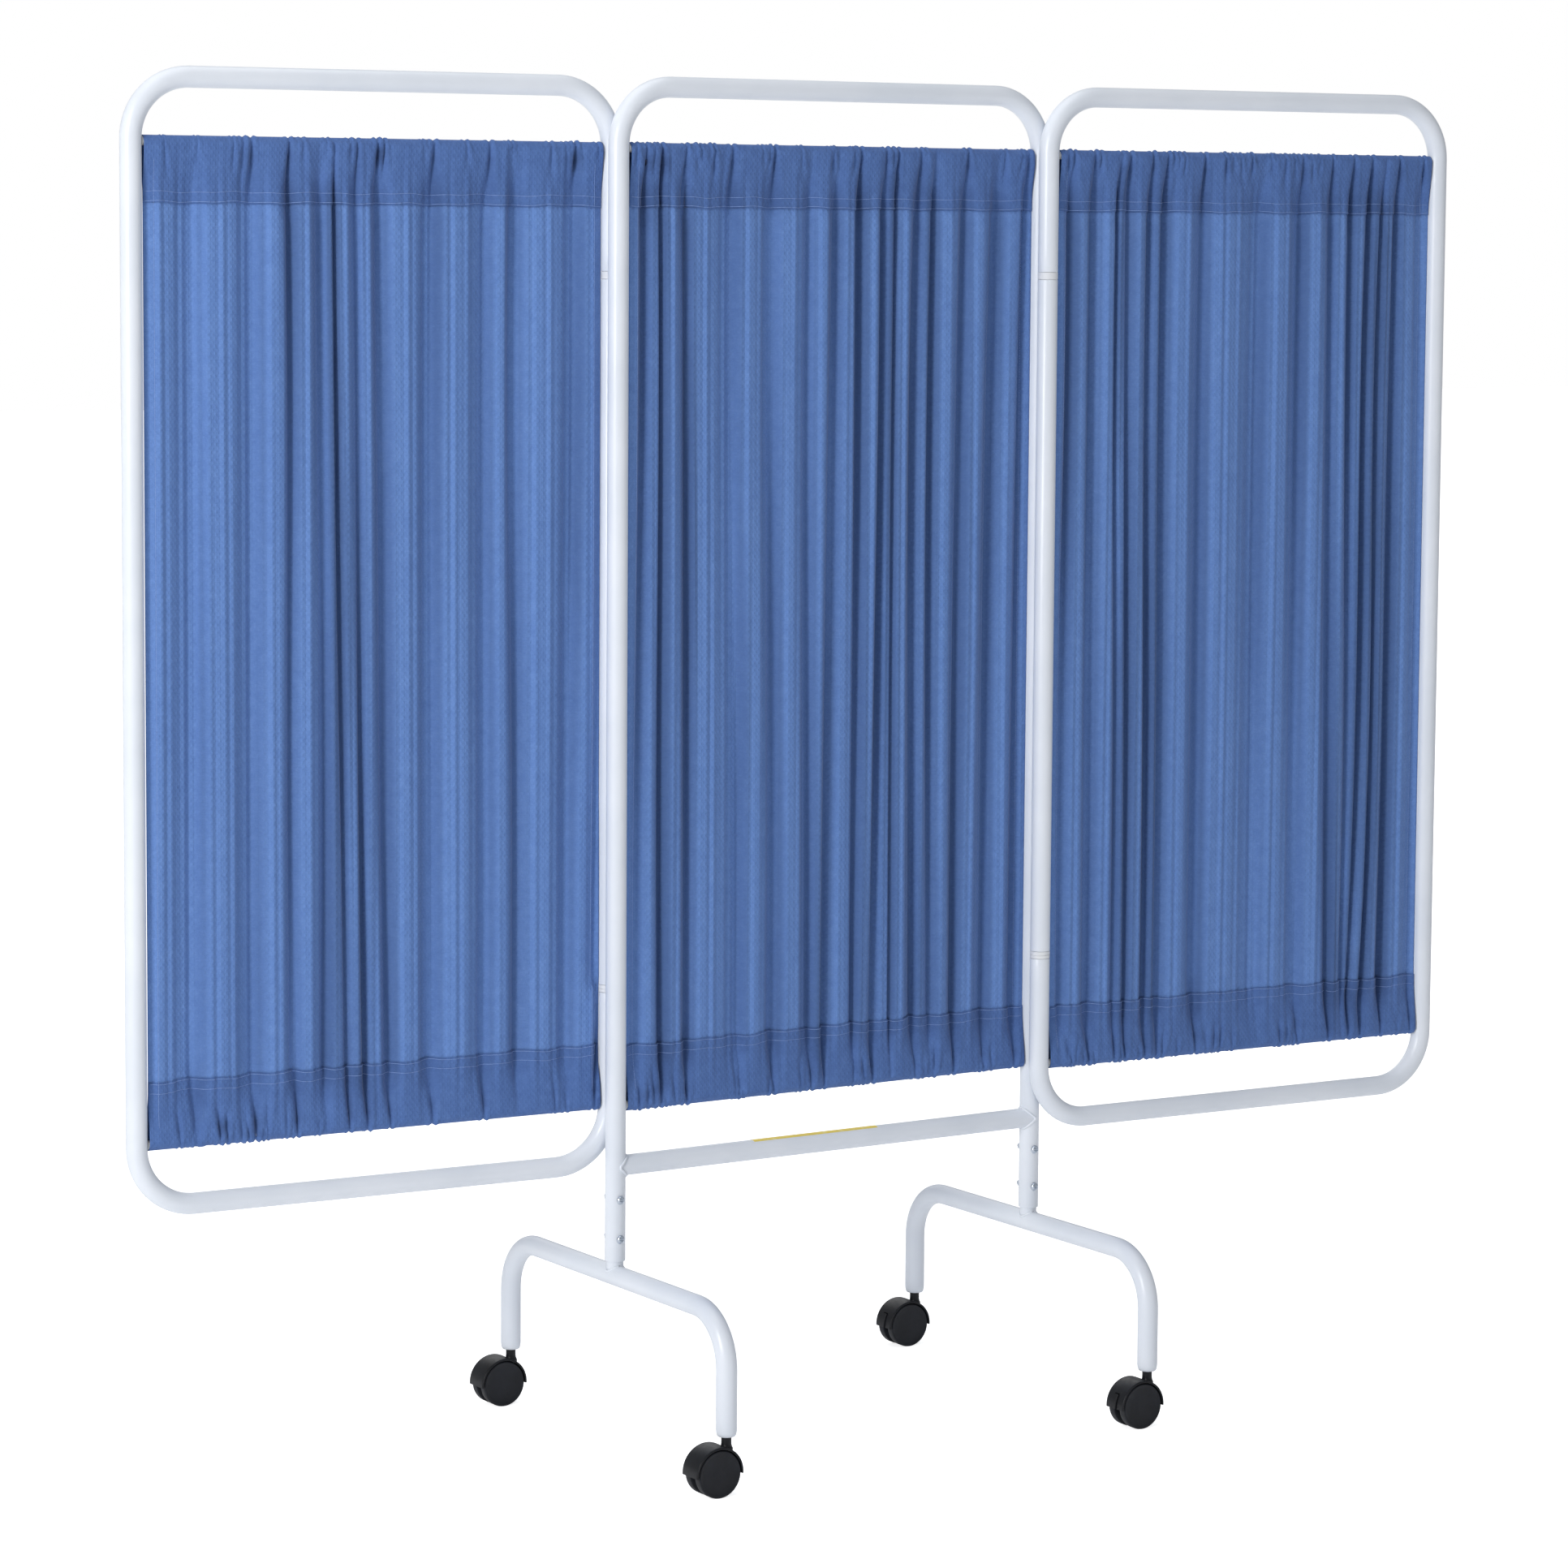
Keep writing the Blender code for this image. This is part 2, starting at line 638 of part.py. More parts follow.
def castor(prefix, x, y, braked):
    """Hood, axle and twin wheels under one leg end."""
    stem = on_panel(x, y, 0.0)
    swivel = joint_axis(f"{prefix}_swivel_axis", stem, None)
    hang(castor_hood(f"{prefix}_hood", stem, braked), swivel)
    hang(castor_axle(f"{prefix}_axle", stem), swivel)
    spin = joint_axis(f"{prefix}_spin_axis", axle_centre(stem), swivel)
    hang(castor_wheel(f"{prefix}_wheel_front", stem, -1), spin)
    hang(castor_wheel(f"{prefix}_wheel_back", stem, 1), spin)
    if braked:
        pivot = joint_axis(f"{prefix}_brake_axis", lever_pivot(stem), swivel)
        hang(brake_lever(f"{prefix}_brake_lever", stem), pivot)


# ---- assembly -----------------------------------------------------------
def build():
    """Make every sub-part of the screen."""
    for obj in list(bpy.data.objects):
        bpy.data.objects.remove(obj, do_unlink=True)
    centre_hoop()
    crossbar()
    for word, side in (("left", -1), ("right", 1)):
        x = side * HALF
        axis = joint_axis(f"{word}_wing_axis", hinge_foot(side), None)
        hang(wing_frame(f"{word}_wing_frame", side), axis)
        for piece in curtain_set(f"{word}_wing", hinge_foot(side), wing_direction(side), WING_WIDTH):
            hang(piece, axis)
        hinge_post(f"{word}_hinge_post", side)
        hinge_collar(f"{word}_collar_upper", side, UPPER_COLLAR_Z, False)
        hinge_collar(f"{word}_collar_lower", side, LOWER_COLLAR_Z, True)
        leg_bow(f"{word}_leg_bow", x)
        for level, z in zip(("low", "high"), BOLT_Z):
            leg_bolt(f"{word}_bolt_{level}", x, z)
            leg_nut(f"{word}_nut_{level}", x, z)
        castor(f"{word}_front_castor", x, -LEG_HALF_SPAN, side > 0)
        castor(f"{word}_back_castor", x, LEG_HALF_SPAN, side > 0)
    curtain_set("centre", on_panel(-HALF, 0.0, 0.0), Vector((1.0, 0.0, 0.0)), CENTRE_WIDTH)


build()
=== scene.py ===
"""Looks of the three-panel folding curtain screen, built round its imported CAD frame.

Metres, +Z up, the same frame as the CAD.  "Front" is the -Y side.
"""
import math

import bmesh
import bpy
import numpy as np
from mathutils import Matrix
from mathutils import Vector


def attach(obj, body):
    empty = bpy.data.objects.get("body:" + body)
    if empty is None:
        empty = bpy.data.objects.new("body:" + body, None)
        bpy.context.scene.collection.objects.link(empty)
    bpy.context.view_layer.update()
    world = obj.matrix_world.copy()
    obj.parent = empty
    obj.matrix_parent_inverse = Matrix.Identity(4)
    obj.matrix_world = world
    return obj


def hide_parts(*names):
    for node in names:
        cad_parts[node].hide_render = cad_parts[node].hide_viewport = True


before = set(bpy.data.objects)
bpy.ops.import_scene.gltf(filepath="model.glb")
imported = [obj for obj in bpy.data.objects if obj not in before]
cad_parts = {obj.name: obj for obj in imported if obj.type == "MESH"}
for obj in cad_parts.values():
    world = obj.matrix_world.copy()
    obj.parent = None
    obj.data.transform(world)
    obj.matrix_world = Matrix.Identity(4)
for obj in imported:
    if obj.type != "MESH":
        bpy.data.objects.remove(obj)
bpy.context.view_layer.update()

# ---- dimensions shared with the CAD ------------------------------------
TUBE_R = 0.0125
BORE_R = 0.0110
HALF = 0.3069              # centre upright axis from the panel middle
WING_WIDTH = 0.6040
TOP_RAIL_Z = 1.6345
BOTTOM_RAIL_Z = 0.3437
BEND_RADIUS = 0.070
UPRIGHT_END_Z = 0.2285
PANEL_X = -0.00032
HINGE_SPACING = 0.0254
HINGE_INWARD_DEG = 10.0
LEFT_WING_DEG = 4.1
RIGHT_WING_DEG = 3.1
UPPER_COLLAR_Z = (1.4075, 1.4165)
LOWER_COLLAR_Z = (0.5525, 0.5615)
COLLAR_GAP = 0.0003
LEG_HALF_SPAN = 0.2536
LEG_BAR_Z = 0.2103
LEG_BEND_RADIUS = 0.065
LEG_END_Z = 0.0687
SPIGOT_R = 0.0104
BOLT_Z = (0.2560, 0.3040)
BOLT_R = 0.0030
NUT_FLAT = 0.00468           # nut axis to a flat
NUT_BORE_R = 0.0033
ROD_R = 0.0035
ROD_TOP_Z = 1.5620
ROD_BOTTOM_Z = 0.4165
CLIP_R = 0.0052
CLIP_BORE_R = 0.0039
CLIP_REACH = 0.0190
WHEEL_R = 0.0283
CASTOR_TRAIL = 0.0180
HOOD_R = 0.0320
HOOD_BORE_R = 0.0294
HOOD_HALF = 0.0170
WEB_HALF = 0.0046
WHEEL_INNER = 0.0051
WHEEL_OUTER = 0.0163
STEM_R = 0.0055
STEM_TOP_Z = 0.1080
LEVER_ARC_DEG = (150.0, 182.0)
LEVER_RADII = (0.0270, 0.0338)
LEVER_WIDTH = 0.0080

SIDES = 40                 # round a frame tube
BEND_STEPS = 18
UP = Vector((0.0, 0.0, 1.0))
BACK = Vector((0.0, 1.0, 0.0))
ALONG = Vector((1.0, 0.0, 0.0))


# ---- materials ----------------------------------------------------------
def srgb(red, green, blue):
    """Linear colour of an 8-bit display colour."""
    out = []
    for value in (red, green, blue):
        c = value / 255.0
        out.append(c / 12.92 if c <= 0.04045 else ((c + 0.055) / 1.055) ** 2.4)
    return (*out, 1.0)


class Nodes:
    """Short hand for building one material's node tree."""

    def __init__(self, name):
        self.mat = bpy.data.materials.new(name)
        self.mat.use_nodes = True
        self.tree = self.mat.node_tree
        self.shader = self.tree.nodes["Principled BSDF"]
        self.place = self.tree.nodes.new("ShaderNodeTexCoord").outputs["Object"]

    def add(self, kind, **settings):
        node = self.tree.nodes.new(kind)
        for key, value in settings.items():
            setattr(node, key, value)
        return node

    def link(self, source, target):
        self.tree.links.new(source, target)

    def stretched(self, scale):
        """Object coordinates scaled unevenly."""
        mapping = self.add("ShaderNodeMapping")
        mapping.inputs["Scale"].default_value = scale
        self.link(self.place, mapping.inputs["Vector"])
        return mapping.outputs["Vector"]

    def noise(self, scale, detail=2.0, vector=None, roughness=0.5):
        node = self.add("ShaderNodeTexNoise")
        node.inputs["Scale"].default_value = scale
        node.inputs["Detail"].default_value = detail
        node.inputs["Roughness"].default_value = roughness
        self.link(vector or self.place, node.inputs["Vector"])
        return node.outputs["Fac"]

    def ramp(self, value, low, high, out_low, out_high):
        """Value remapped and clamped."""
        node = self.add("ShaderNodeMapRange")
        node.clamp = True
        limits = {"From Min": low, "From Max": high, "To Min": out_low, "To Max": out_high}
        for key, number in limits.items():
            node.inputs[key].default_value = number
        self.link(value, node.inputs["Value"])
        return node.outputs["Result"]

    def math(self, operation, first, second):
        node = self.add("ShaderNodeMath", operation=operation)
        for socket, value in zip(node.inputs, (first, second)):
            if isinstance(value, (int, float)):
                socket.default_value = value
            else:
                self.link(value, socket)
        return node.outputs[0]

    def blend(self, factor, first, second):
        """Colour between two, which are colours or sockets."""
        node = self.add("ShaderNodeMix", data_type="RGBA")
        self.link(factor, node.inputs["Factor"])
        for socket, value in ((node.inputs[6], first), (node.inputs[7], second)):
            if isinstance(value, tuple):
                socket.default_value = value
            else:
                self.link(value, socket)
        return node.outputs[2]

    def bump(self, height, strength, distance):
        node = self.add("ShaderNodeBump")
        node.inputs["Strength"].default_value = strength
        node.inputs["Distance"].default_value = distance
        self.link(height, node.inputs["Height"])
        self.link(node.outputs["Normal"], self.shader.inputs["Normal"])

    def set(self, **values):
        for key, value in values.items():
            self.shader.inputs[key.replace("_", " ")].default_value = value

    def colour(self, socket):
        self.link(socket, self.shader.inputs["Base Color"])

    def rough(self, socket):
        self.link(socket, self.shader.inputs["Roughness"])


def powder_coat():
    """White polyester powder coat, satin, with faint orange peel."""
    n = Nodes("powder_coat_white")
    tone = n.noise(9.0, 3.0)
    n.colour(n.blend(n.ramp(tone, 0.35, 0.65, 0.0, 1.0), srgb(219, 225, 234), srgb(226, 231, 239)))
    n.rough(n.ramp(n.noise(55.0, 3.0), 0.3, 0.7, 0.30, 0.40))
    peel = n.noise(620.0, 1.5)
    n.bump(peel, 0.10, 0.0004)
    n.set(Coat_Weight=0.15, Coat_Roughness=0.18)
    return n.mat


def plain_plastic(name, dark, light, rough, grain, strength):
    """Moulded plastic with a fine grained face."""
    n = Nodes(name)
    n.colour(n.blend(n.ramp(n.noise(40.0, 3.0), 0.35, 0.65, 0.0, 1.0), dark, light))
    n.rough(n.ramp(n.noise(180.0, 2.0), 0.3, 0.7, rough - 0.05, rough + 0.06))
    n.bump(n.noise(grain, 2.0), strength, 0.0003)
    n.set(Specular_IOR_Level=0.30)
    return n.mat


def metal(name, dark, light, rough, brushed):
    """Plated or bare metal with fine drawing lines."""
    n = Nodes(name)
    lines = n.noise(260.0, 3.0, n.stretched(brushed))
    n.colour(n.blend(n.ramp(lines, 0.3, 0.7, 0.0, 1.0), dark, light))
    n.rough(n.ramp(lines, 0.3, 0.7, rough - 0.07, rough + 0.09))
    n.bump(lines, 0.08, 0.0002)
    n.set(Metallic=1.0)
    return n.mat


FIGURE_ACROSS = 0.0062     # repeat of the raised figures in the weave
FIGURE_UP = 0.0086
FOLD_SHADE_SHARE = 0.42          # brightness of the painted fold shade against the valley colour


def cloth(name, valley, mean, crest):
    """Fine woven polyester with rows of small raised figures, darkened with painted shade where its folds are
    steep.
    """
    n = Nodes(name)
    warp = n.noise(1.0, 2.0, n.stretched((1500.0, 1500.0, 260.0)))
    weft = n.noise(1.0, 2.0, n.stretched((230.0, 230.0, 1500.0)))
    threads = n.math("ADD", n.math("MULTIPLY", warp, 0.5), n.math("MULTIPLY", weft, 0.5))
    mottle = n.noise(95.0, 4.0, None, 0.6)
    broad = n.noise(7.0, 2.0)
    split = n.add("ShaderNodeSeparateXYZ")
    n.link(n.place, split.inputs[0])
    across = n.math("SINE", n.math("MULTIPLY", split.outputs["X"], 2.0 * math.pi / FIGURE_ACROSS), 0.0)
    upward = n.math("SINE", n.math("MULTIPLY", split.outputs["Z"], 2.0 * math.pi / FIGURE_UP), 0.0)
    figure = n.math("MULTIPLY", across, upward)
    raised = n.ramp(figure, 0.15, 0.85, 0.0, 1.0)
    shade = n.math("ADD", n.math("MULTIPLY", threads, 0.55), n.math("MULTIPLY", mottle, 0.35))
    shade = n.math("ADD", shade, n.math("MULTIPLY", raised, 0.05))
    shade = n.math("ADD", shade, n.math("MULTIPLY", broad, 0.10))
    low = n.blend(n.ramp(shade, 0.30, 0.50, 0.0, 1.0), valley, mean)
    face = n.blend(n.ramp(shade, 0.50, 0.72, 0.0, 1.0), low, crest)
    # Painted shade: where the fold attribute is high, the colour goes towards a dimmed copy of the valley
    # colour.
    painted_fold_shade = n.add("ShaderNodeAttribute", attribute_name="painted_fold_shade").outputs["Fac"]
    deep = tuple(c * FOLD_SHADE_SHARE for c in valley[:3]) + (1.0,)
    n.colour(n.blend(painted_fold_shade, face, deep))
    n.rough(n.ramp(threads, 0.3, 0.7, 0.78, 0.92))
    height = n.math("ADD", n.math("MULTIPLY", threads, 0.5), n.math("MULTIPLY", raised, 1.0))
    n.bump(height, 0.50, 0.0007)
    n.set(Sheen_Weight=0.12, Sheen_Roughness=0.45, Specular_IOR_Level=0.25)
    return n.mat


def thread():
    """Twisted sewing thread."""
    n = Nodes("sewing_thread")
    twist = n.noise(1.0, 1.0, n.stretched((1600.0, 1600.0, 1600.0)))
    n.colour(n.blend(n.ramp(twist, 0.35, 0.65, 0.0, 1.0), srgb(118, 146, 202), srgb(146, 171, 218)))
    n.rough(n.ramp(twist, 0.3, 0.7, 0.55, 0.7))
    n.bump(twist, 0.2, 0.0002)
    return n.mat


def strip():
    """Plain yellow vinyl strip, a little scuffed."""
    n = Nodes("yellow_strip")
    scuff = n.noise(130.0, 4.0)
    n.colour(n.blend(n.ramp(scuff, 0.55, 0.75, 0.0, 1.0), srgb(238, 214, 96), srgb(243, 230, 160)))
    n.rough(n.ramp(scuff, 0.3, 0.7, 0.35, 0.5))
    n.bump(scuff, 0.05, 0.0002)
    return n.mat


def floor_surface():
    """Plain pale studio floor, with a glow that rises with distance until it meets the white surround."""
    n = Nodes("studio_floor")
    tone = n.noise(0.8, 1.0)
    n.colour(n.blend(tone, srgb(248, 248, 248), srgb(250, 250, 250)))
    n.set(Roughness=0.9, Specular_IOR_Level=0.1)
    n.shader.inputs["Emission Color"].default_value = (1.0, 1.0, 1.0, 1.0)
    reach = n.add("ShaderNodeVectorMath", operation="LENGTH")
    n.link(n.place, reach.inputs[0])
    seen = n.ramp(reach.outputs["Value"], 1.2, 4.5, 0.74, 1.0)
    path = n.add("ShaderNodeLightPath")
    glow = n.ramp(path.outputs["Is Camera Ray"], 0.0, 1.0, 0.25, 1.0)
    n.link(n.math("MULTIPLY", seen, glow), n.shader.inputs["Emission Strength"])
    return n.mat


COAT = powder_coat()
NYLON = plain_plastic("nylon_collar", srgb(218, 221, 226), srgb(228, 230, 233), 0.42, 900.0, 0.10)
CLIP = plain_plastic("clip_plastic", srgb(240, 241, 240), srgb(248, 248, 246), 0.36, 900.0, 0.08)
HOOD = plain_plastic("hood_plastic", srgb(15, 16, 20), srgb(20, 22, 27), 0.38, 1500.0, 0.22)
TREAD = plain_plastic("wheel_plastic", srgb(17, 19, 25), srgb(23, 26, 33), 0.50, 1300.0, 0.18)
ZINC = metal("bright_zinc", srgb(178, 188, 202), srgb(206, 214, 224), 0.30, (1.0, 1.0, 6.0))
ROD = metal("rod_steel", srgb(190, 192, 196), srgb(212, 213, 216), 0.28, (6.0, 6.0, 6.0))
STEEL = metal("axle_steel", srgb(150, 152, 156), srgb(180, 182, 186), 0.34, (3.0, 3.0, 3.0))
CLOTH = cloth("woven_blue", srgb(86, 119, 181), srgb(98, 133, 194), srgb(112, 147, 207))
# Darker copy of the cloth for the two-layer hems: painted shade for the light that comes less through two
# layers.
DOUBLE_SHADED = cloth("woven_blue_double_painted_shade", srgb(69, 98, 155), srgb(79, 110, 168), srgb(91, 123, 181))
THREAD = thread()
STRIP = strip()


# ---- mesh helpers -------------------------------------------------------
def new_piece(name, verts, faces, surfaces, sharp_deg=38.0):
    """A mesh piece with smooth shading and its real corners sharp."""
    mesh = bpy.data.meshes.new(name)
    mesh.from_pydata([tuple(v) for v in verts], [], faces)
    for surface in surfaces:
        mesh.materials.append(surface)
    work = bmesh.new()
    work.from_mesh(mesh)
    bmesh.ops.recalc_face_normals(work, faces=work.faces)
    work.to_mesh(mesh)
    work.free()
    mesh.shade_smooth()
    mesh.set_sharp_from_angle(angle=math.radians(sharp_deg))
    obj = bpy.data.objects.new(name, mesh)
    bpy.context.scene.collection.objects.link(obj)
    return obj


def ring(centre, across, up, radius, sides):
    """Points of one circle."""
    out = []
    for k in range(sides):
        turn = 2.0 * math.pi * k / sides
        out.append(centre + across * (radius * math.cos(turn)) + up * (radius * math.sin(turn)))
    return out


def quads(first, second, sides):
    """Faces between two rings."""
    return [(first + k, first + (k + 1) % sides, second + (k + 1) % sides, second + k) for k in range(sides)]


def arc(centre, start, end, radius, first_deg, last_deg, steps=BEND_STEPS):
    """Points of a bend."""
    out = []
    for i in range(steps + 1):
        turn = math.radians(first_deg + (last_deg - first_deg) * i / steps)
        out.append(centre + start * (math.cos(turn) * radius) + end * (math.sin(turn) * radius))
    return out


def tangent(path, i):
    """Direction of the path at a point."""
    before = path[max(i - 1, 0)]
    after = path[min(i + 1, len(path) - 1)]
    return (after - before).normalized()


def tube_shell(path, normal, outer, inner, sides):
    """Verts and faces of a hollow tube with softly rounded open ends."""
    lip = 0.0005
    head = (path[1] - path[0]).normalized()
    tail = (path[-1] - path[-2]).normalized()
    spots = [path[0], path[0] + head * lip * 0.3, path[0] + head * lip] + path[1:-1]
    spots += [path[-1] - tail * lip, path[-1] - tail * lip * 0.3, path[-1]]
    count = len(spots)
    trim = {0: lip, 1: lip * 0.3, count - 2: lip * 0.3, count - 1: lip}
    verts = []
    faces = []
    for grow in (1.0, -1.0):
        for i, point in enumerate(spots):
            ahead = tangent(spots, i)
            up = ahead.cross(normal).normalized()
            base = outer(i, count) if grow > 0 else inner(i, count)
            radius = base - grow * trim.get(i, 0.0)
            verts.extend(ring(point, normal, up, radius, sides))
    for i in range(count - 1):
        faces.extend(quads(i * sides, (i + 1) * sides, sides))
        faces.extend(quads((count + i + 1) * sides, (count + i) * sides, sides))
    faces.extend(quads(count * sides, 0, sides))
    faces.extend(quads((count - 1) * sides, (2 * count - 1) * sides, sides))
    return verts, faces


def tube(name, path, normal, surface=None, outer=TUBE_R, inner=BORE_R, sides=SIDES):
    """A hollow swept tube."""
    verts, faces = tube_shell(path, normal, lambda i, n: outer, lambda i, n: inner, sides)
    return new_piece(name, verts, faces, [surface or COAT])


def lathe_shell(profile, origin, axis, sides, closed=False):
    """Verts and faces of a solid of revolution from (radius, distance) pairs."""
    axis = axis.normalized()
    across = UP.cross(axis)
    if across.length < 1e-6:
        across = ALONG.copy()
    across.normalize()
    up = axis.cross(across)
    verts = []
    faces = []
    for radius, along in profile:
        verts.extend(ring(origin + axis * along, across, up, radius, sides))
    count = len(profile)
    for i in range(count if closed else count - 1):
        faces.extend(quads(i * sides, ((i + 1) % count) * sides, sides))
    if not closed:
        faces.append(tuple(range(sides)))
        faces.append(tuple((count - 1) * sides + k for k in reversed(range(sides))))
    return verts, faces


def lathe(name, profile, origin, axis, surface, sides=SIDES, closed=False):
    """A turned piece."""
    verts, faces = lathe_shell(profile, origin, axis, sides, closed)
    return new_piece(name, verts, faces, [surface])


def merge(parts):
    """Several (verts, faces) shells as one."""
    verts = []
    faces = []
    for some_verts, some_faces in parts:
        start = len(verts)
        verts.extend(some_verts)
        faces.extend(tuple(start + k for k in face) for face in some_faces)
    return verts, faces


def boolean(target, tool, operation):
    """Exact boolean of two closed bodies; the tool is used up."""
    step = target.modifiers.new("shape", "BOOLEAN")
    step.solver = "EXACT"
    step.operation = operation
    step.object = tool
    bpy.context.view_layer.update()
    graph = bpy.context.evaluated_depsgraph_get()
    shaped = bpy.data.meshes.new_from_object(target.evaluated_get(graph))
    target.modifiers.clear()
    target.data = shaped
    for polygon in shaped.polygons:
        polygon.material_index = 0
    while len(shaped.materials) > 1:
        shaped.materials.pop()
    shaped.shade_smooth()
    shaped.set_sharp_from_angle(angle=math.radians(38.0))
    bpy.data.objects.remove(tool, do_unlink=True)


def thick_line(points, radius, sides=6):
    """Closed shell round an open line of points."""
    verts = []
    faces = []
    count = len(points)
    for i, point in enumerate(points):
        ahead = tangent(points, i)
        side = ahead.cross(UP if abs(ahead.z) < 0.9 else ALONG).normalized()
        size = radius * (0.4 if i in (0, count - 1) else 1.0)
        verts.extend(ring(point, side, ahead.cross(side), size, sides))
    for i in range(count - 1):
        faces.extend(quads(i * sides, (i + 1) * sides, sides))
    faces.append(tuple(range(sides)))
    faces.append(tuple((count - 1) * sides + k for k in reversed(range(sides))))
    return verts, faces


def settle(obj, body, slot, *nodes):
    """Put a finished piece on its body and hide the CAD nodes it stands for. The slot is not used."""
    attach(obj, body)
    if nodes:
        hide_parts(*nodes)
    return obj


# ---- layout -------------------------------------------------------------
def on_panel(x, y, z):
    return Vector((PANEL_X + x, y, z))


def hinge_foot(side):
    turn = math.radians(HINGE_INWARD_DEG)
    inward = HINGE_SPACING * math.sin(turn)
    return on_panel(side * (HALF - inward), -side * HINGE_SPACING * math.cos(turn), 0.0)


def wing_direction(side):
    turn = math.radians(LEFT_WING_DEG if side < 0 else RIGHT_WING_DEG)
    return Vector((side * math.cos(turn), -side * math.sin(turn), 0.0))


# ---- frames -------------------------------------------------------------
def weld_bead(points, radius):
    """Low rippled weld bead under the coat, along a closed or open line."""
    verts = []
    faces = []
    sides = 8
    count = len(points)
    for i, point in enumerate(points):
        ahead = (points[(i + 1) % count] - points[i - 1]).normalized()
        side = ahead.cross(ALONG)
        if side.length < 0.05:
            side = ahead.cross(UP)
        side.normalize()
        size = radius * (1.0 + 0.07 * math.sin(i * 1.9) + 0.04 * math.sin(i * 0.7))
        verts.extend(ring(point, side, ahead.cross(side), size, sides))
    for i in range(count):
        faces.extend(quads(i * sides, ((i + 1) % count) * sides, sides))
    return verts, faces


def saddle(centre, axis, other, radius, host, steps=56):
    """Line where a tube of radius meets a host tube; axis points out of the host."""
    side = axis.cross(other).normalized()
    points = []
    for k in range(steps):
        turn = 2.0 * math.pi * k / steps
        a = radius * math.cos(turn)
        out = math.sqrt(max(host * host - a * a, 0.0))
        points.append(centre + axis * out + side * a + other * (radius * math.sin(turn)))
    return points


def centre_frame():
    """Hoop of one bent tube, the crossbar and its welds."""
    path = [on_panel(-HALF, 0.0, UPRIGHT_END_Z), on_panel(-HALF, 0.0, 0.9)]
    top = TOP_RAIL_Z - BEND_RADIUS
    path += arc(on_panel(-HALF + BEND_RADIUS, 0.0, top), ALONG, UP, BEND_RADIUS, 180.0, 90.0)
    path += arc(on_panel(HALF - BEND_RADIUS, 0.0, top), ALONG, UP, BEND_RADIUS, 90.0, 0.0)
    path += [on_panel(HALF, 0.0, 0.9), on_panel(HALF, 0.0, UPRIGHT_END_Z)]
    settle(tube("hoop_tube", path, BACK), "centre", "powder_coat", "centre_hoop")
    sides = 56
    verts = []
    faces = []
    for radius in (TUBE_R, BORE_R):
        for end in (-1.0, 1.0):
            for k in range(sides):
                turn = 2.0 * math.pi * k / sides
                y = radius * math.cos(turn)
                reach = HALF - math.sqrt(max(TUBE_R ** 2 - y * y, 0.0)) - 0.0001
                verts.append(on_panel(end * reach, y, BOTTOM_RAIL_Z + radius * math.sin(turn)))
    faces += quads(0, sides, sides) + quads(3 * sides, 2 * sides, sides)
    faces += quads(2 * sides, 0, sides) + quads(sides, 3 * sides, sides)
    bar = new_piece("crossbar_tube", verts, faces, [COAT])
    settle(bar, "centre", "powder_coat", "crossbar")
    parts = []
    for side in (-1.0, 1.0):
        joint = on_panel(side * HALF, 0.0, BOTTOM_RAIL_Z)
        line = saddle(joint, ALONG * -side, UP, TUBE_R + 0.0006, TUBE_R + 0.0004)
        parts.append(weld_bead(line, 0.0017))
    settle(new_piece("crossbar_welds", *merge(parts), [COAT], 80.0), "centre", "powder_coat")
    verts = []
    faces = []
    rows = 9
    for x in (-0.1120, 0.0700):
        for lift in (0.00004, 0.00022):
            for k in range(rows):
                turn = math.radians(62.0 + 62.0 * k / (rows - 1))
                radius = TUBE_R + lift
                verts.append(on_panel(x, -radius * math.cos(turn), BOTTOM_RAIL_Z + radius * math.sin(turn)))
    for k in range(rows - 1):
        a, b, c, d = k, rows + k, 2 * rows + k, 3 * rows + k
        faces += [(b, b + 1, d + 1, d), (a, c, c + 1, a + 1), (a, a + 1, b + 1, b), (c, d, d + 1, c + 1)]
    last = rows - 1
    faces += [(0, rows, 3 * rows, 2 * rows), (last, 2 * rows + last, 3 * rows + last, rows + last)]
    settle(new_piece("marker_strip", verts, faces, [STRIP]), "centre", None)


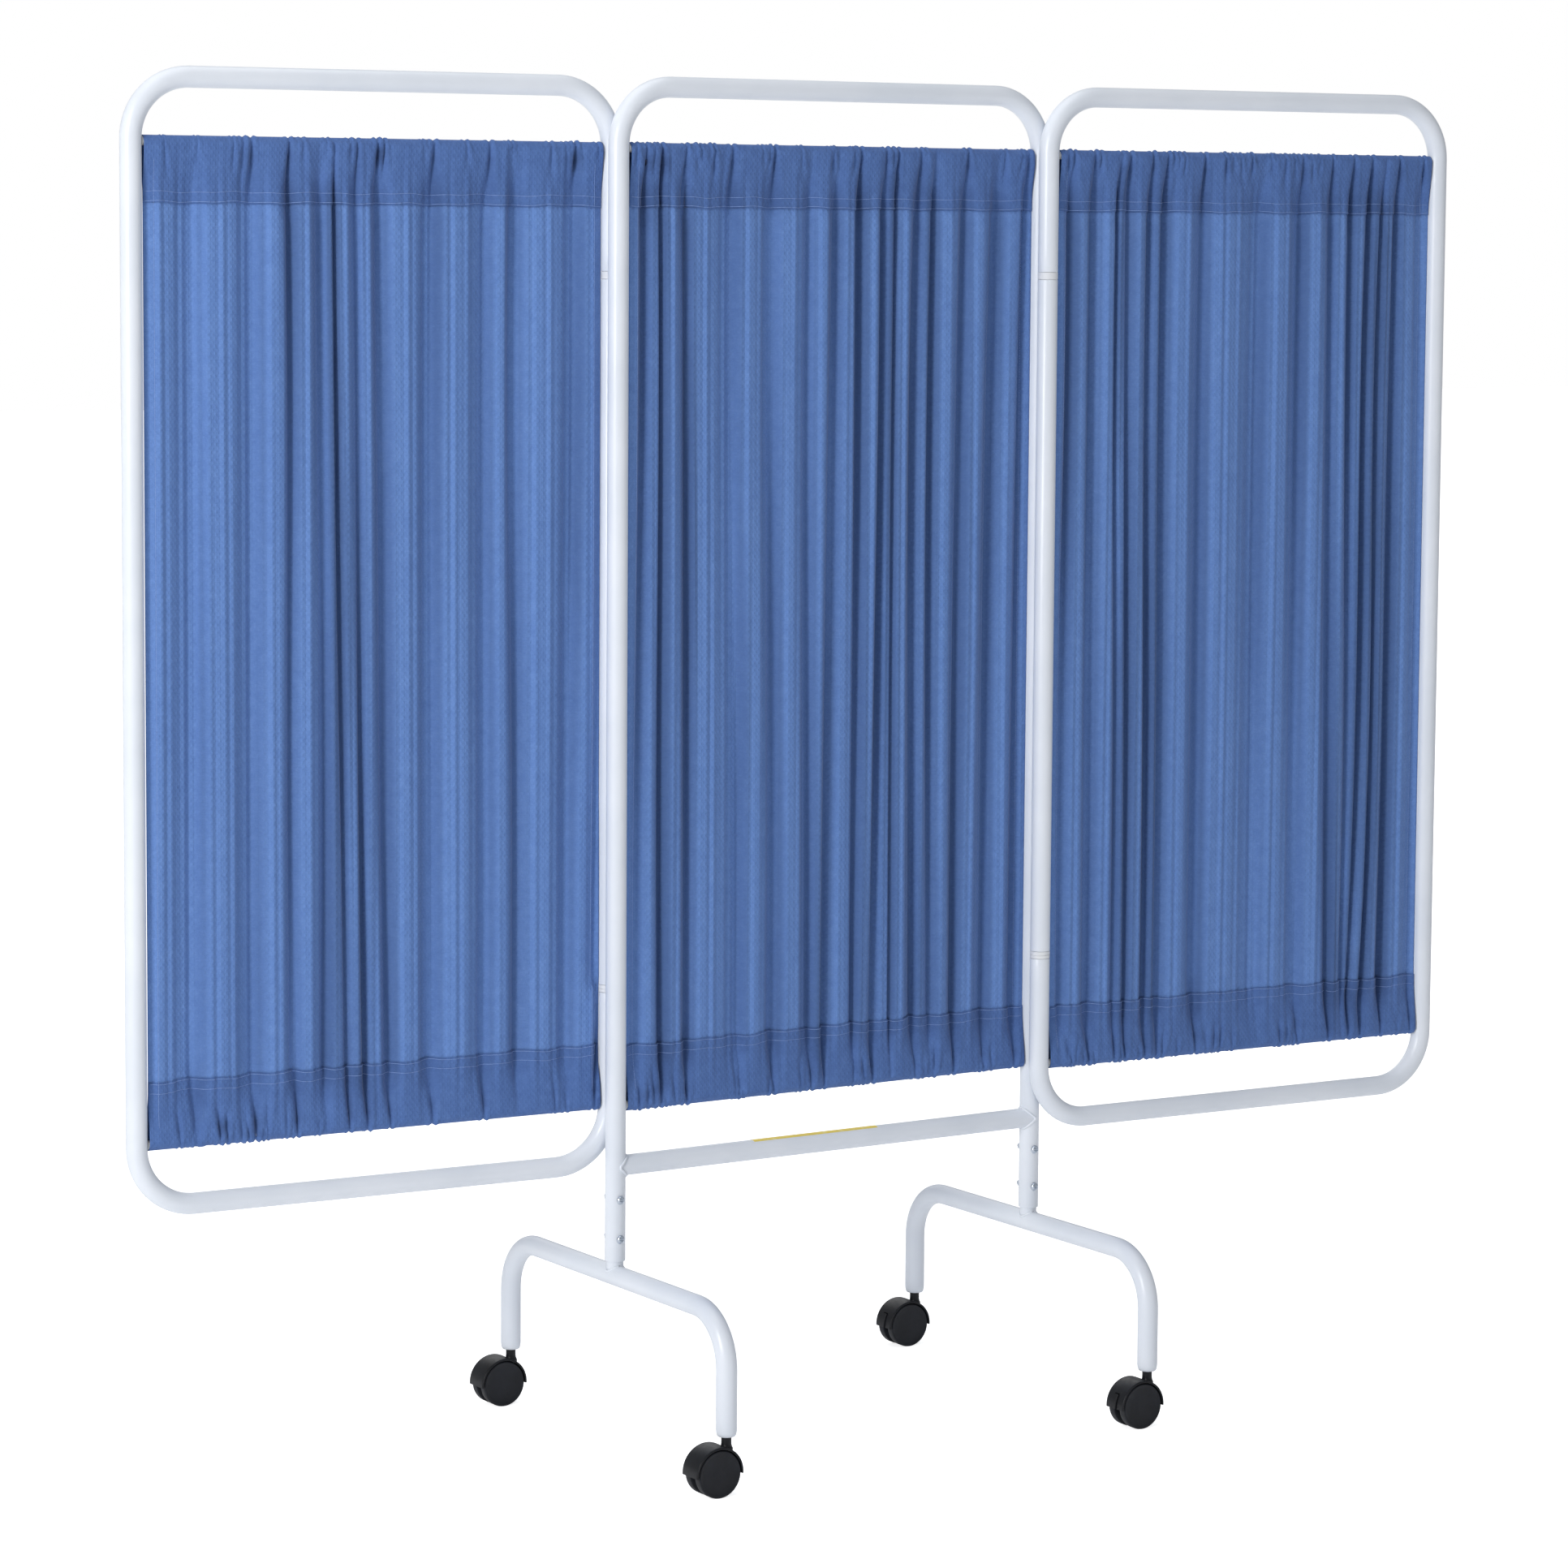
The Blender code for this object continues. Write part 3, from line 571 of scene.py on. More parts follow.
def wing(word, side):
    """Wing frame, hinge post and collars of one side."""
    foot = hinge_foot(side)
    out = wing_direction(side)
    reach = WING_WIDTH - BEND_RADIUS
    top = TOP_RAIL_Z - BEND_RADIUS
    low = BOTTOM_RAIL_Z + BEND_RADIUS
    start = UPPER_COLLAR_Z[1] + COLLAR_GAP
    end = LOWER_COLLAR_Z[0] - COLLAR_GAP
    path = [foot + UP * start, foot + UP * (start + 0.02)]
    path += arc(foot + out * BEND_RADIUS + UP * top, out, UP, BEND_RADIUS, 180.0, 90.0)
    path += arc(foot + out * reach + UP * top, out, UP, BEND_RADIUS, 90.0, 0.0)
    path += arc(foot + out * reach + UP * low, out, UP, BEND_RADIUS, 0.0, -90.0)
    path += arc(foot + out * BEND_RADIUS + UP * low, out, UP, BEND_RADIUS, 270.0, 180.0)
    path += [foot + UP * (end - 0.02), foot + UP * end]
    body = f"{word}_wing"
    loop = tube(f"{word}_wing_tube", path, out.cross(UP).normalized())
    settle(loop, body, "powder_coat", f"{word}_wing_frame")
    heights = (LOWER_COLLAR_Z[1] + COLLAR_GAP, 0.9, UPPER_COLLAR_Z[0] - COLLAR_GAP)
    post = [foot + UP * z for z in heights]
    settle(tube(f"{word}_post_tube", post, BACK), "centre", "powder_coat", f"{word}_hinge_post")
    pin = SPIGOT_R
    edge = 0.0005
    for level, (base, high), split in (("upper", UPPER_COLLAR_Z, False), ("lower", LOWER_COLLAR_Z, True)):
        profile = [(pin - edge, base - 0.030), (pin, base - 0.030 + edge), (pin, base)]
        profile += [(TUBE_R - edge, base), (TUBE_R, base + edge)]
        if split:
            middle = (base + high) / 2.0
            profile += [(TUBE_R, middle - 0.0004), (TUBE_R - 0.0008, middle - 0.0003)]
            profile += [(TUBE_R - 0.0008, middle + 0.0003), (TUBE_R, middle + 0.0004)]
        profile += [(TUBE_R, high - edge), (TUBE_R - edge, high), (pin, high)]
        profile += [(pin, high + 0.030 - edge), (pin - edge, high + 0.030)]
        collar = lathe(f"{word}_{level}_collar_ring", profile, foot, UP, NYLON)
        settle(collar, "centre", "nylon", f"{word}_collar_{level}")


def leg(word, side):
    """Leg bow with its spigot and weld, the bolts and the nuts."""
    x = side * HALF
    reach = LEG_HALF_SPAN - LEG_BEND_RADIUS
    bend = LEG_BAR_Z - LEG_BEND_RADIUS
    path = [on_panel(x, -LEG_HALF_SPAN, LEG_END_Z)]
    path += [path[0] + UP * h for h in (0.0016, 0.0040, 0.0075)]
    path += arc(on_panel(x, -reach, bend), BACK, UP, LEG_BEND_RADIUS, 180.0, 90.0)
    path += [on_panel(x, 0.0, LEG_BAR_Z)]
    path += arc(on_panel(x, reach, bend), BACK, UP, LEG_BEND_RADIUS, 90.0, 0.0)
    foot = on_panel(x, LEG_HALF_SPAN, LEG_END_Z)
    path += [foot + UP * h for h in (0.0075, 0.0040, 0.0016, 0.0)]
    socket = STEM_R + 0.0005

    def outer(i, count):
        near = min(i, count - 1 - i)
        return TUBE_R - {0: 0.0017, 1: 0.0019, 2: 0.0016, 3: 0.0010, 4: 0.0004}.get(near, 0.0)

    def inner(i, count):
        return socket if min(i, count - 1 - i) < 6 else BORE_R

    bow = new_piece(f"{word}_leg_tube", *tube_shell(path, ALONG, outer, inner, SIDES), [COAT])
    settle(bow, "centre", "powder_coat", f"{word}_leg_bow")
    base = on_panel(x, 0.0, LEG_BAR_Z)
    bore = SPIGOT_R - 0.0018
    profile = [(bore, 0.0080), (SPIGOT_R, 0.0080), (SPIGOT_R, 0.1132)]
    profile += [(SPIGOT_R - 0.0005, 0.1137), (bore, 0.1137)]
    spigot = lathe(f"{word}_leg_spigot", profile, base, UP, COAT, SIDES, True)
    settle(spigot, "centre", "powder_coat")
    line = saddle(base, UP, BACK, SPIGOT_R + 0.0006, TUBE_R + 0.0002)
    settle(new_piece(f"{word}_leg_weld", *weld_bead(line, 0.0014), [COAT], 80.0), "centre", "powder_coat")
    for level, z in zip(("low", "high"), BOLT_Z):
        centre = on_panel(x, 0.0, z)
        settle(bolt(f"{word}_{level}_bolt_screw", centre), "centre", "zinc", f"{word}_bolt_{level}")
        settle(nut(f"{word}_{level}_bolt_nut", centre), "centre", "zinc", f"{word}_nut_{level}")


def bolt(name, centre):
    """Pan-head screw with a cross recess; the head is at the front."""
    sides = 48
    crown = [(0.0006, 0.0164), (0.0011, 0.0164), (0.0016, 0.0163), (0.0021, 0.0162), (0.0026, 0.0161)]
    crown += [(0.0032, 0.0158), (0.0038, 0.0154), (0.0044, 0.0148), (0.0049, 0.0141), (0.0052, 0.0134)]
    crown += [(0.0053, 0.0128)]
    head = [(radius, -y) for radius, y in crown]
    profile = head + [(BOLT_R, -0.0126), (BOLT_R, 0.0212), (BOLT_R - 0.0006, 0.0218)]
    verts, faces = lathe_shell(profile, centre, BACK, sides)
    for i, vert in enumerate(verts[:len(head) * sides]):
        x, z = vert.x - centre.x, vert.z - centre.z
        slot = min(abs(x), abs(z))
        reach = max(abs(x), abs(z))
        if slot < 0.00075 and reach < 0.0029:
            vert.y += 0.0016 * (1.0 - (reach / 0.0031) ** 2)
    return new_piece(name, verts, faces, [ZINC], 50.0)


def nut(name, centre):
    """Hexagon nut with chamfered corners and a washer face."""
    sides = 48
    verts = []
    faces = []
    near, far = 0.0128, 0.0178
    chamfer = 0.0005
    for y, cap in ((near, 0.0052), (near + chamfer, None), (far - chamfer, None), (far, 0.0050)):
        for k in range(sides):
            turn = 2.0 * math.pi * k / sides
            flat = (turn + math.pi / 6.0) % (math.pi / 3.0) - math.pi / 6.0
            radius = NUT_FLAT / math.cos(flat)
            if cap:
                radius = min(cap, radius)
            rim = ALONG * (radius * math.cos(turn)) + UP * (radius * math.sin(turn))
            verts.append(centre + BACK * y + rim)
    for y in (far, near):
        verts.extend(ring(centre + BACK * y, ALONG, UP, NUT_BORE_R, sides))
    for i in range(6):
        faces += quads(i * sides, ((i + 1) % 6) * sides, sides)
    return new_piece(name, verts, faces, [ZINC], 25.0)


# ---- curtains -----------------------------------------------------------
EDGE = 0.0134              # cloth edge, from the upright axis
HEM_TOP = 0.0700           # hem edge below the top rod
HEM_BOTTOM = 0.0730        # hem edge above the bottom rod
LAYER = 0.0012             # hem layer in front of the main cloth
WRAP_R = 0.0060            # cloth round a rod
FOLD_LIMIT = 0.0108        # no fold stands further out than this
FOLD = 0.0104              # fold height to each side of the panel plane
CLOTH_THICKNESS = 0.00045
COLUMNS = 296              # points across one curtain
TUCK_REACH = 0.13          # tucks run out within this distance of a rod
STITCH = 0.0011            # point spacing of the seams
STITCH_DIP = 0.00022


class Drape:
    """Depth of one gathered curtain in front of its panel plane."""

    def __init__(self, seed, width, pitch):
        rng = np.random.default_rng(seed)
        self.width = width
        spots = []
        heights = []
        s = EDGE - 0.010
        sign = 1.0
        phase = rng.uniform(0.0, 6.0)
        while s < width + 0.02:
            spots.append(s)
            crowd = 1.0 + 0.42 * math.sin(s * 17.0 + phase)
            half = pitch * crowd * float(np.clip(rng.lognormal(-0.55, 0.38), 0.26, 1.35))
            half *= 0.72 if sign < 0 else 1.16
            lift = rng.uniform(0.60, 1.1) * min(1.2, 0.60 + 0.6 * half / pitch)
            heights.append(sign * FOLD * lift * (1.35 if sign < 0 and rng.random() < 0.35 else 1.0))
            s += half
            sign = -sign
        self.spots = np.array(spots)
        self.heights = np.array(heights)
        n = len(spots)
        self.lean = rng.normal(0.0, 1.0, (3, n))
        for row in self.lean:
            row[:] = np.convolve(np.pad(row, 2, mode="edge"), [0.2, 0.2, 0.2, 0.2, 0.2], "valid") * 1.6
        self.swell = rng.uniform(-1.0, 1.0, (3, n))
        self.fine = rng.uniform(0.0, 2.0 * math.pi, 8)
        self.tucks = [self.some_tucks(rng, 0.0), self.some_tucks(rng, 1.0)]

    def some_tucks(self, rng, end):
        """Pinched gathers that start at a rod: place, depth, half width, length and lean."""
        tucks = []
        for place, height in zip(self.spots + self.drift(end), self.heights):
            if height < 0:
                if rng.random() < 0.25:
                    continue
                tucks.append((place + rng.normal(0.0, 0.0015), rng.uniform(0.0042, 0.0064),
                              rng.uniform(0.0017, 0.0026), rng.uniform(0.055, 0.105), rng.normal(0.0, 0.04)))
        crowded = rng.uniform(EDGE + 0.02, self.width - EDGE - 0.02, 5)
        first, last = EDGE + 0.006, self.width - EDGE - 0.006
        for i in range(int(self.width / 0.028)):
            spot = rng.uniform(first, last)
            if i % 2:
                spot = float(np.clip(rng.choice(crowded) + rng.normal(0.0, 0.013), first, last))
            tucks.append((spot, rng.uniform(0.0016, 0.0040),
                          rng.uniform(0.0013, 0.0020), rng.uniform(0.018, 0.060), rng.normal(0.0, 0.07)))
        return tucks

    def drift(self, level):
        """Sideways wander of every fold at a level from 0, top, to 1, bottom."""
        a, b, c = self.lean
        bend = 0.5 * b * math.sin(3.1 * level + 0.7)
        return 0.0075 * (a * (level - 0.5) * 2.0 + bend + 0.3 * c * math.sin(7.0 * level))

    def folds(self, s, level):
        """Main folds at one level."""
        spots = self.spots + self.drift(level)
        order = np.argsort(spots)
        a, b, c = self.swell
        swell = 1.0 + 0.34 * a * np.cos(math.pi * level) + 0.20 * b * math.sin(5.0 * level)
        swell = swell + 0.12 * c * math.sin(9.0 * level)
        heights = (FOLD_LIMIT * np.tanh(self.heights * swell / FOLD_LIMIT))[order]
        spots = spots[order]
        k = np.clip(np.searchsorted(spots, s) - 1, 0, len(spots) - 2)
        t = np.clip((s - spots[k]) / np.maximum(spots[k + 1] - spots[k], 0.004), 0.0, 1.0)
        falling = heights[k] > heights[k + 1]
        t = np.where(falling, t ** 1.6, 1.0 - (1.0 - t) ** 1.6)
        ease = 0.5 - 0.5 * np.cos(math.pi * t)
        value = heights[k] * (1.0 - ease) + heights[k + 1] * ease
        value = value * smooth_step((s - EDGE + 0.004) / 0.022)
        value = value * smooth_step((self.width - EDGE + 0.004 - s) / 0.022)
        f = self.fine
        value = value + 0.0007 * np.sin(s * 410.0 + f[0] + 1.5 * level)
        return value + 0.0005 * np.sin(s * 655.0 + f[1] - 2.0 * level)

    def hem_wave(self, s):
        """Small rise and fall of the hem edges and their seams."""
        return 0.0007 * np.sin(s * 61.0 + self.fine[2]) + 0.0005 * np.sin(s * 143.0 + self.fine[3])

    def pinch(self, s, gap, end):
        """Depth and ridge of the tucks at a distance from the rod."""
        depth = np.zeros_like(s)
        ridge = np.zeros_like(s)
        for place, deep, half, length, lean in self.tucks[end]:
            if gap > length:
                continue
            fall = 1.0 - (gap / length) ** 1.3
            start = 0.30 + 0.70 * min(gap / 0.016, 1.0)
            wide = half * (1.0 + 1.8 * gap / length)
            x = (s - place - lean * gap) / wide
            depth += deep * fall * start * np.exp(-x * x)
            ridge += 0.0014 * fall * (np.exp(-((x - 1.9) / 0.8) ** 2) + 0.6 * np.exp(-((x + 1.9) / 0.8) ** 2))
        return np.minimum(depth, 0.0075), np.minimum(ridge, 0.0022)

    def sheet(self, s, z, front):
        """Depth of the hem layer (front) or the main cloth at one height."""
        level = (ROD_TOP_Z - z) / (ROD_TOP_Z - ROD_BOTTOM_Z)
        value = self.folds(s, level)
        for end, gap in ((0, ROD_TOP_Z - z), (1, z - ROD_BOTTOM_Z)):
            if gap > TUCK_REACH:
                continue
            w = smooth_step(gap / 0.060)
            depth, ridge = self.pinch(s, max(gap, 0.0), end)
            calm = 0.30 + 0.70 * min(gap / 0.085, 1.0)
            bulge = (1.0 - w) * (1.0 if front else -1.0) * WRAP_R
            share = 1.0 if front else max(w, 0.05)
            value = value * (calm * w + 0.22 * (1.0 - w)) + bulge + (ridge - depth) * share
        return value


def smooth_step(t):
    """0 to 1 with level ends."""
    t = np.clip(t, 0.0, 1.0)
    return t * t * (3.0 - 2.0 * t)


def drape_rows(drape, s):
    """Rows of the whole cloth: (s, depth, z, hem) from the top hem edge round to the bottom one."""
    rows = []
    wave = drape.hem_wave(s)
    level = np.zeros_like(s)

    def layer(z_mean, front, offset, shift):
        """One row, pushed out along the cloth's own normal by the offset."""
        depth = drape.sheet(s, z_mean, front)
        slope = np.gradient(depth, s)
        size = np.sqrt(1.0 + slope * slope)
        return s - offset * slope / size, depth + offset / size, z_mean + shift

    def wrap(end):
        """Rows round the rod of one end."""
        out = []
        z0 = ROD_TOP_Z if end == 0 else ROD_BOTTOM_Z
        direction = 1.0 if end == 0 else -1.0
        depth, ridge = drape.pinch(s, 0.0, end)
        for k in range(1, 10):
            turn = math.pi * k / 10.0
            radius = WRAP_R + 0.0004 + (ridge - 0.75 * depth) * (0.6 + 0.4 * math.sin(turn))
            radius = np.clip(radius, ROD_R + 0.0010, 0.0085)
            side = math.cos(turn) if end == 0 else -math.cos(turn)
            out.append((s, radius * side, z0 + direction * radius * math.sin(turn), 1))
        return out

    top_gaps = np.concatenate([np.linspace(HEM_TOP, 0.012, 17), np.linspace(0.009, 0.0, 4)])
    for gap in top_gaps:
        rows.append((*layer(ROD_TOP_Z - gap, True, LAYER, wave * (gap / HEM_TOP) ** 2), 1))
    rows += wrap(0)
    down = np.concatenate([np.linspace(0.0, 0.009, 4), np.linspace(0.012, HEM_TOP + 0.002, 17),
                           np.linspace(HEM_TOP + 0.006, 0.125, 9)])
    span = ROD_TOP_Z - ROD_BOTTOM_Z
    middle = np.linspace(0.137, span - 0.137, 44)
    up_gaps = np.concatenate([np.linspace(0.125, HEM_BOTTOM + 0.006, 9),
                              np.linspace(HEM_BOTTOM + 0.002, 0.012, 17), np.linspace(0.009, 0.0, 4)])
    for gap in down:
        rows.append((*layer(ROD_TOP_Z - gap, False, 0.0, level), 1 if gap < HEM_TOP else 0))
    for gap in middle:
        rows.append((*layer(ROD_TOP_Z - gap, False, 0.0, level), 0))
    for gap in up_gaps:
        rows.append((*layer(ROD_BOTTOM_Z + gap, False, 0.0, level), 1 if gap < HEM_BOTTOM else 0))
    rows += wrap(1)
    bottom_gaps = np.concatenate([np.linspace(0.0, 0.009, 4), np.linspace(0.012, HEM_BOTTOM, 17)])
    for gap in bottom_gaps:
        rows.append((*layer(ROD_BOTTOM_Z + gap, True, LAYER, -wave * (gap / HEM_BOTTOM) ** 2), 1))
    return rows


def paint_fold_shade(rows, s):
    """Painted shade at every vertex, from 0 to 0.72: higher where the cloth's folds slope steeply, standing
    in for less light coming through close folds.
    """
    out = []
    for _s, depth, _z, _hem in rows:
        slope = np.abs(np.gradient(depth, s))
        soft = np.convolve(np.pad(slope, 3, mode="edge"), np.ones(7) / 7.0, "valid")
        out.append(0.72 * smooth_step((soft - 0.25) / 1.15))
    return np.concatenate(out)


def seam_line(drape, place, along, z, offset, vertical=False):
    """A row of stitches that dips in and out of the cloth."""
    points = []
    if vertical:
        heights = np.arange(ROD_BOTTOM_Z + 0.020, ROD_TOP_Z - 0.020, STITCH)
        for i, height in enumerate(heights):
            in_hem = height > ROD_TOP_Z - HEM_TOP or height < ROD_BOTTOM_Z + HEM_BOTTOM
            front = in_hem and offset > 0
            depth = float(drape.sheet(np.array([along]), height, front)[0])
            lift = offset + (LAYER if front else 0.0)
            points.append(place(along, depth + lift + STITCH_DIP * math.sin(2.0 * math.pi * i / 3.0), height))
        return thick_line(points, 0.00022, 5)
    s = np.arange(EDGE + 0.002, drape.width - EDGE - 0.002, STITCH)
    depth = drape.sheet(s, z, offset > 0)
    slope = np.gradient(depth, s)
    size = np.sqrt(1.0 + slope * slope)
    wave = drape.hem_wave(s)
    if z < 1.0:
        wave = -wave
    for i in range(len(s)):
        lift = offset + (LAYER if offset > 0 else 0.0) + STITCH_DIP * math.sin(2.0 * math.pi * i / 3.0)
        points.append(place(s[i] - lift * slope[i] / size[i], depth[i] + lift / size[i], z + wave[i]))
    return thick_line(points, 0.00024, 5)


def curtain(prefix, body, start, along, width, seed, pitch):
    """Gathered cloth of one panel with its stitching."""
    across = along.cross(UP).normalized()
    drape = Drape(seed, width, pitch)
    s = np.linspace(EDGE, width - EDGE, COLUMNS)

    def place(distance, depth, z):
        return start + along * float(distance) + across * float(depth) + UP * float(z)

    rows = drape_rows(drape, s)
    verts = []
    for row_s, depth, z, _hem in rows:
        limited = np.clip(row_s, EDGE, width - EDGE)
        for a, b, c in zip(limited, depth, z):
            verts.append((start.x + along.x * a + across.x * b, start.y + along.y * a + across.y * b, c))
    faces = []
    kinds = []
    for i in range(len(rows) - 1):
        hem = 1 if rows[i][3] and rows[i + 1][3] else 0
        for k in range(COLUMNS - 1):
            a = i * COLUMNS + k
            faces.append((a, a + 1, a + COLUMNS + 1, a + COLUMNS))
            kinds.append(hem)
    mesh = bpy.data.meshes.new(f"{prefix}_curtain_cloth")
    mesh.from_pydata(verts, [], faces)
    mesh.materials.append(CLOTH)
    mesh.materials.append(DOUBLE_SHADED)
    # Hem faces take the darker copy: painted shade of the double layer.
    mesh.polygons.foreach_set("material_index", kinds)
    mesh.shade_smooth()
    # Painted fold shade per vertex, which the cloth material reads to darken its colour.
    painted_fold_shade = mesh.attributes.new("painted_fold_shade", "FLOAT", "POINT")
    painted_fold_shade.data.foreach_set("value", paint_fold_shade(rows, s))
    obj = bpy.data.objects.new(f"{prefix}_curtain_cloth", mesh)
    bpy.context.scene.collection.objects.link(obj)
    solid = obj.modifiers.new("thickness", "SOLIDIFY")
    solid.thickness = CLOTH_THICKNESS
    solid.offset = 0.0
    parts = []
    for z in (ROD_TOP_Z - HEM_TOP + 0.0022, ROD_TOP_Z - HEM_TOP + 0.0130,
              ROD_BOTTOM_Z + HEM_BOTTOM - 0.0022, ROD_BOTTOM_Z + HEM_BOTTOM - 0.0130):
        parts.append(seam_line(drape, place, 0.0, z, 0.00030))
        parts.append(seam_line(drape, place, 0.0, z, -0.00030))
    for edge in (EDGE + 0.0115, width - EDGE - 0.0115):
        parts.append(seam_line(drape, place, edge, 0.0, 0.00030, True))
    stitching = new_piece(f"{prefix}_curtain_stitching", *merge(parts), [THREAD], 80.0)
    settle(obj, body, "fabric", f"{prefix}_curtain")
    settle(stitching, body, "fabric")


def curtain_fittings(prefix, body, foot, out, width):
    """Rods and clips of one panel."""
    far = foot + out * width
    reach = CLIP_REACH - 0.0035
    edge = 0.0005
    for level, z in (("top", ROD_TOP_Z), ("bottom", ROD_BOTTOM_Z)):
        profile = [(ROD_R - edge, reach), (ROD_R, reach + edge)]
        profile += [(ROD_R, width - reach - edge), (ROD_R - edge, width - reach)]
        rod = lathe(f"{prefix}_rod_{level}_bar", profile, foot + UP * z, out, ROD, 24)
        settle(rod, body, "rod", f"{prefix}_rod_{level}")
        for letter, base, direction in (("a", foot, out), ("b", far, -out)):
            back = TUBE_R + 0.0003
            cup = [(CLIP_R - edge, back), (CLIP_R, back + edge)]
            cup += [(CLIP_R, CLIP_REACH - edge), (CLIP_R - edge, CLIP_REACH)]
            cup += [(CLIP_BORE_R + 0.0002, CLIP_REACH), (CLIP_BORE_R, CLIP_REACH - edge)]
            cup += [(CLIP_BORE_R, back + 0.0022)]
            piece = lathe(f"{prefix}_clip_{level}_{letter}_cup", cup, base + UP * z, direction, CLIP, 32)
            settle(piece, body, "clip", f"{prefix}_clip_{level}_{letter}")


# ---- castors ------------------------------------------------------------
def sweep_section(section, hub, first_deg, last_deg, steps):
    """Closed (radius, y) section turned part of the way round the axle, ends capped."""
    verts = []
    faces = []
    sides = len(section)
    for i in range(steps + 1):
        turn = math.radians(first_deg + (last_deg - first_deg) * i / steps)
        for radius, y in section:
            verts.append(hub + ALONG * (radius * math.cos(turn)) + BACK * y + UP * (radius * math.sin(turn)))
    for i in range(steps):
        faces += quads(i * sides, (i + 1) * sides, sides)
    faces.append(tuple(range(sides)))
    faces.append(tuple(steps * sides + k for k in reversed(range(sides))))
    return verts, faces


def plate(outline, hub, half, edge):
    """Flat outline in X and Z thickened to each side, with softened rims."""
    count = len(outline)
    middle = Vector((sum(x for x, _ in outline) / count, sum(z for _, z in outline) / count))
    verts = []
    for y, trim in ((-half, edge), (-half + edge, 0.0), (half - edge, 0.0), (half, edge)):
        for x, z in outline:
            way = Vector((x, z)) - middle
            spot = Vector((x, z)) - way.normalized() * trim
            verts.append(hub + ALONG * spot.x + BACK * y + UP * spot.y)
    faces = [tuple(range(count)), tuple(3 * count + k for k in reversed(range(count)))]
    for i in range(3):
        faces += quads(i * count, (i + 1) * count, count)
    return verts, faces


def hood(prefix, stem, braked):
    """Hood shell over twin wheels, its web, boss and stem."""
    hub = stem + Vector((-CASTOR_TRAIL, 0.0, WHEEL_R))
    section = [(HOOD_BORE_R, -HOOD_HALF + 0.0003), (HOOD_BORE_R + 0.0003, -HOOD_HALF)]
    section += [(HOOD_R - 0.0012, -HOOD_HALF), (HOOD_R - 0.0005, -HOOD_HALF + 0.0003)]
    section += [(HOOD_R - 0.0001, -HOOD_HALF + 0.0010), (HOOD_R, -HOOD_HALF + 0.0020)]
    section += [(radius, -y) for radius, y in reversed(section)]
    shell = new_piece(f"{prefix}_hood_shell", *sweep_section(section, hub, -3.0, 183.0, 62), [HOOD], 42.0)
    outline = []
    for i in range(33):
        turn = math.radians(-3.0 + 186.0 * i / 32)
        outline.append((0.0302 * math.cos(turn), 0.0302 * math.sin(turn)))
    for i in range(9):
        turn = math.radians(200.0 + 140.0 * i / 8)
        outline.append((0.0130 * math.cos(turn), 0.0130 * math.sin(turn)))
    boolean(shell, new_piece("web", *plate(outline, hub, WEB_HALF, 0.0003), [HOOD]), "UNION")
    boss = [(0.0078, 0.0490), (0.0078, 0.0545), (0.0070, 0.0562), (0.0064, 0.0578), (0.0061, 0.0600)]
    boss += [(0.0061, 0.0676), (0.0058, 0.0679), (STEM_R, 0.0680), (STEM_R, STEM_TOP_Z - 0.0012)]
    boss += [(STEM_R - 0.0009, STEM_TOP_Z)]
    boolean(shell, new_piece("boss", *lathe_shell(boss, stem, UP, 40), [HOOD]), "UNION")
    if braked:
        outline = []
        for radius, turns in ((0.0360, (147.5, 202.0)), (0.0262, (202.0, 147.5))):
            for i in range(13):
                turn = math.radians(turns[0] + (turns[1] - turns[0]) * i / 12)
                outline.append((radius * math.cos(turn), radius * math.sin(turn)))
        count = len(outline)
        verts = []
        for y in (-LEVER_WIDTH / 2.0 - 0.0004, LEVER_WIDTH / 2.0 + 0.0004):
            verts += [hub + ALONG * x + BACK * y + UP * z for x, z in outline]
        faces = [tuple(range(count)), tuple(count + k for k in reversed(range(count)))]
        faces += quads(0, count, count)
        boolean(shell, new_piece("slot", verts, faces, [HOOD]), "DIFFERENCE")
    return shell


def wheel(name, stem, side):
    """Moulded disc wheel with a shallow dished face."""
    hub = stem + Vector((-CASTOR_TRAIL, 0.0, WHEEL_R))
    a, b = WHEEL_INNER, WHEEL_OUTER
    profile = [(0.0034, b - 0.0034), (0.0034, a), (WHEEL_R - 0.0012, a), (WHEEL_R - 0.0003, a + 0.0004)]
    profile += [(WHEEL_R, a + 0.0012), (WHEEL_R, b - 0.0018), (WHEEL_R - 0.0002, b - 0.0009)]
    profile += [(WHEEL_R - 0.0008, b - 0.0002), (WHEEL_R - 0.0016, b), (WHEEL_R - 0.0024, b - 0.0001)]
    profile += [(WHEEL_R - 0.0032, b - 0.0006), (WHEEL_R - 0.0044, b - 0.0010), (0.0160, b - 0.0014)]
    profile += [(0.0080, b - 0.0016), (0.0020, b - 0.0016)]
    return lathe(name, profile, hub, BACK * side, TREAD, 72)


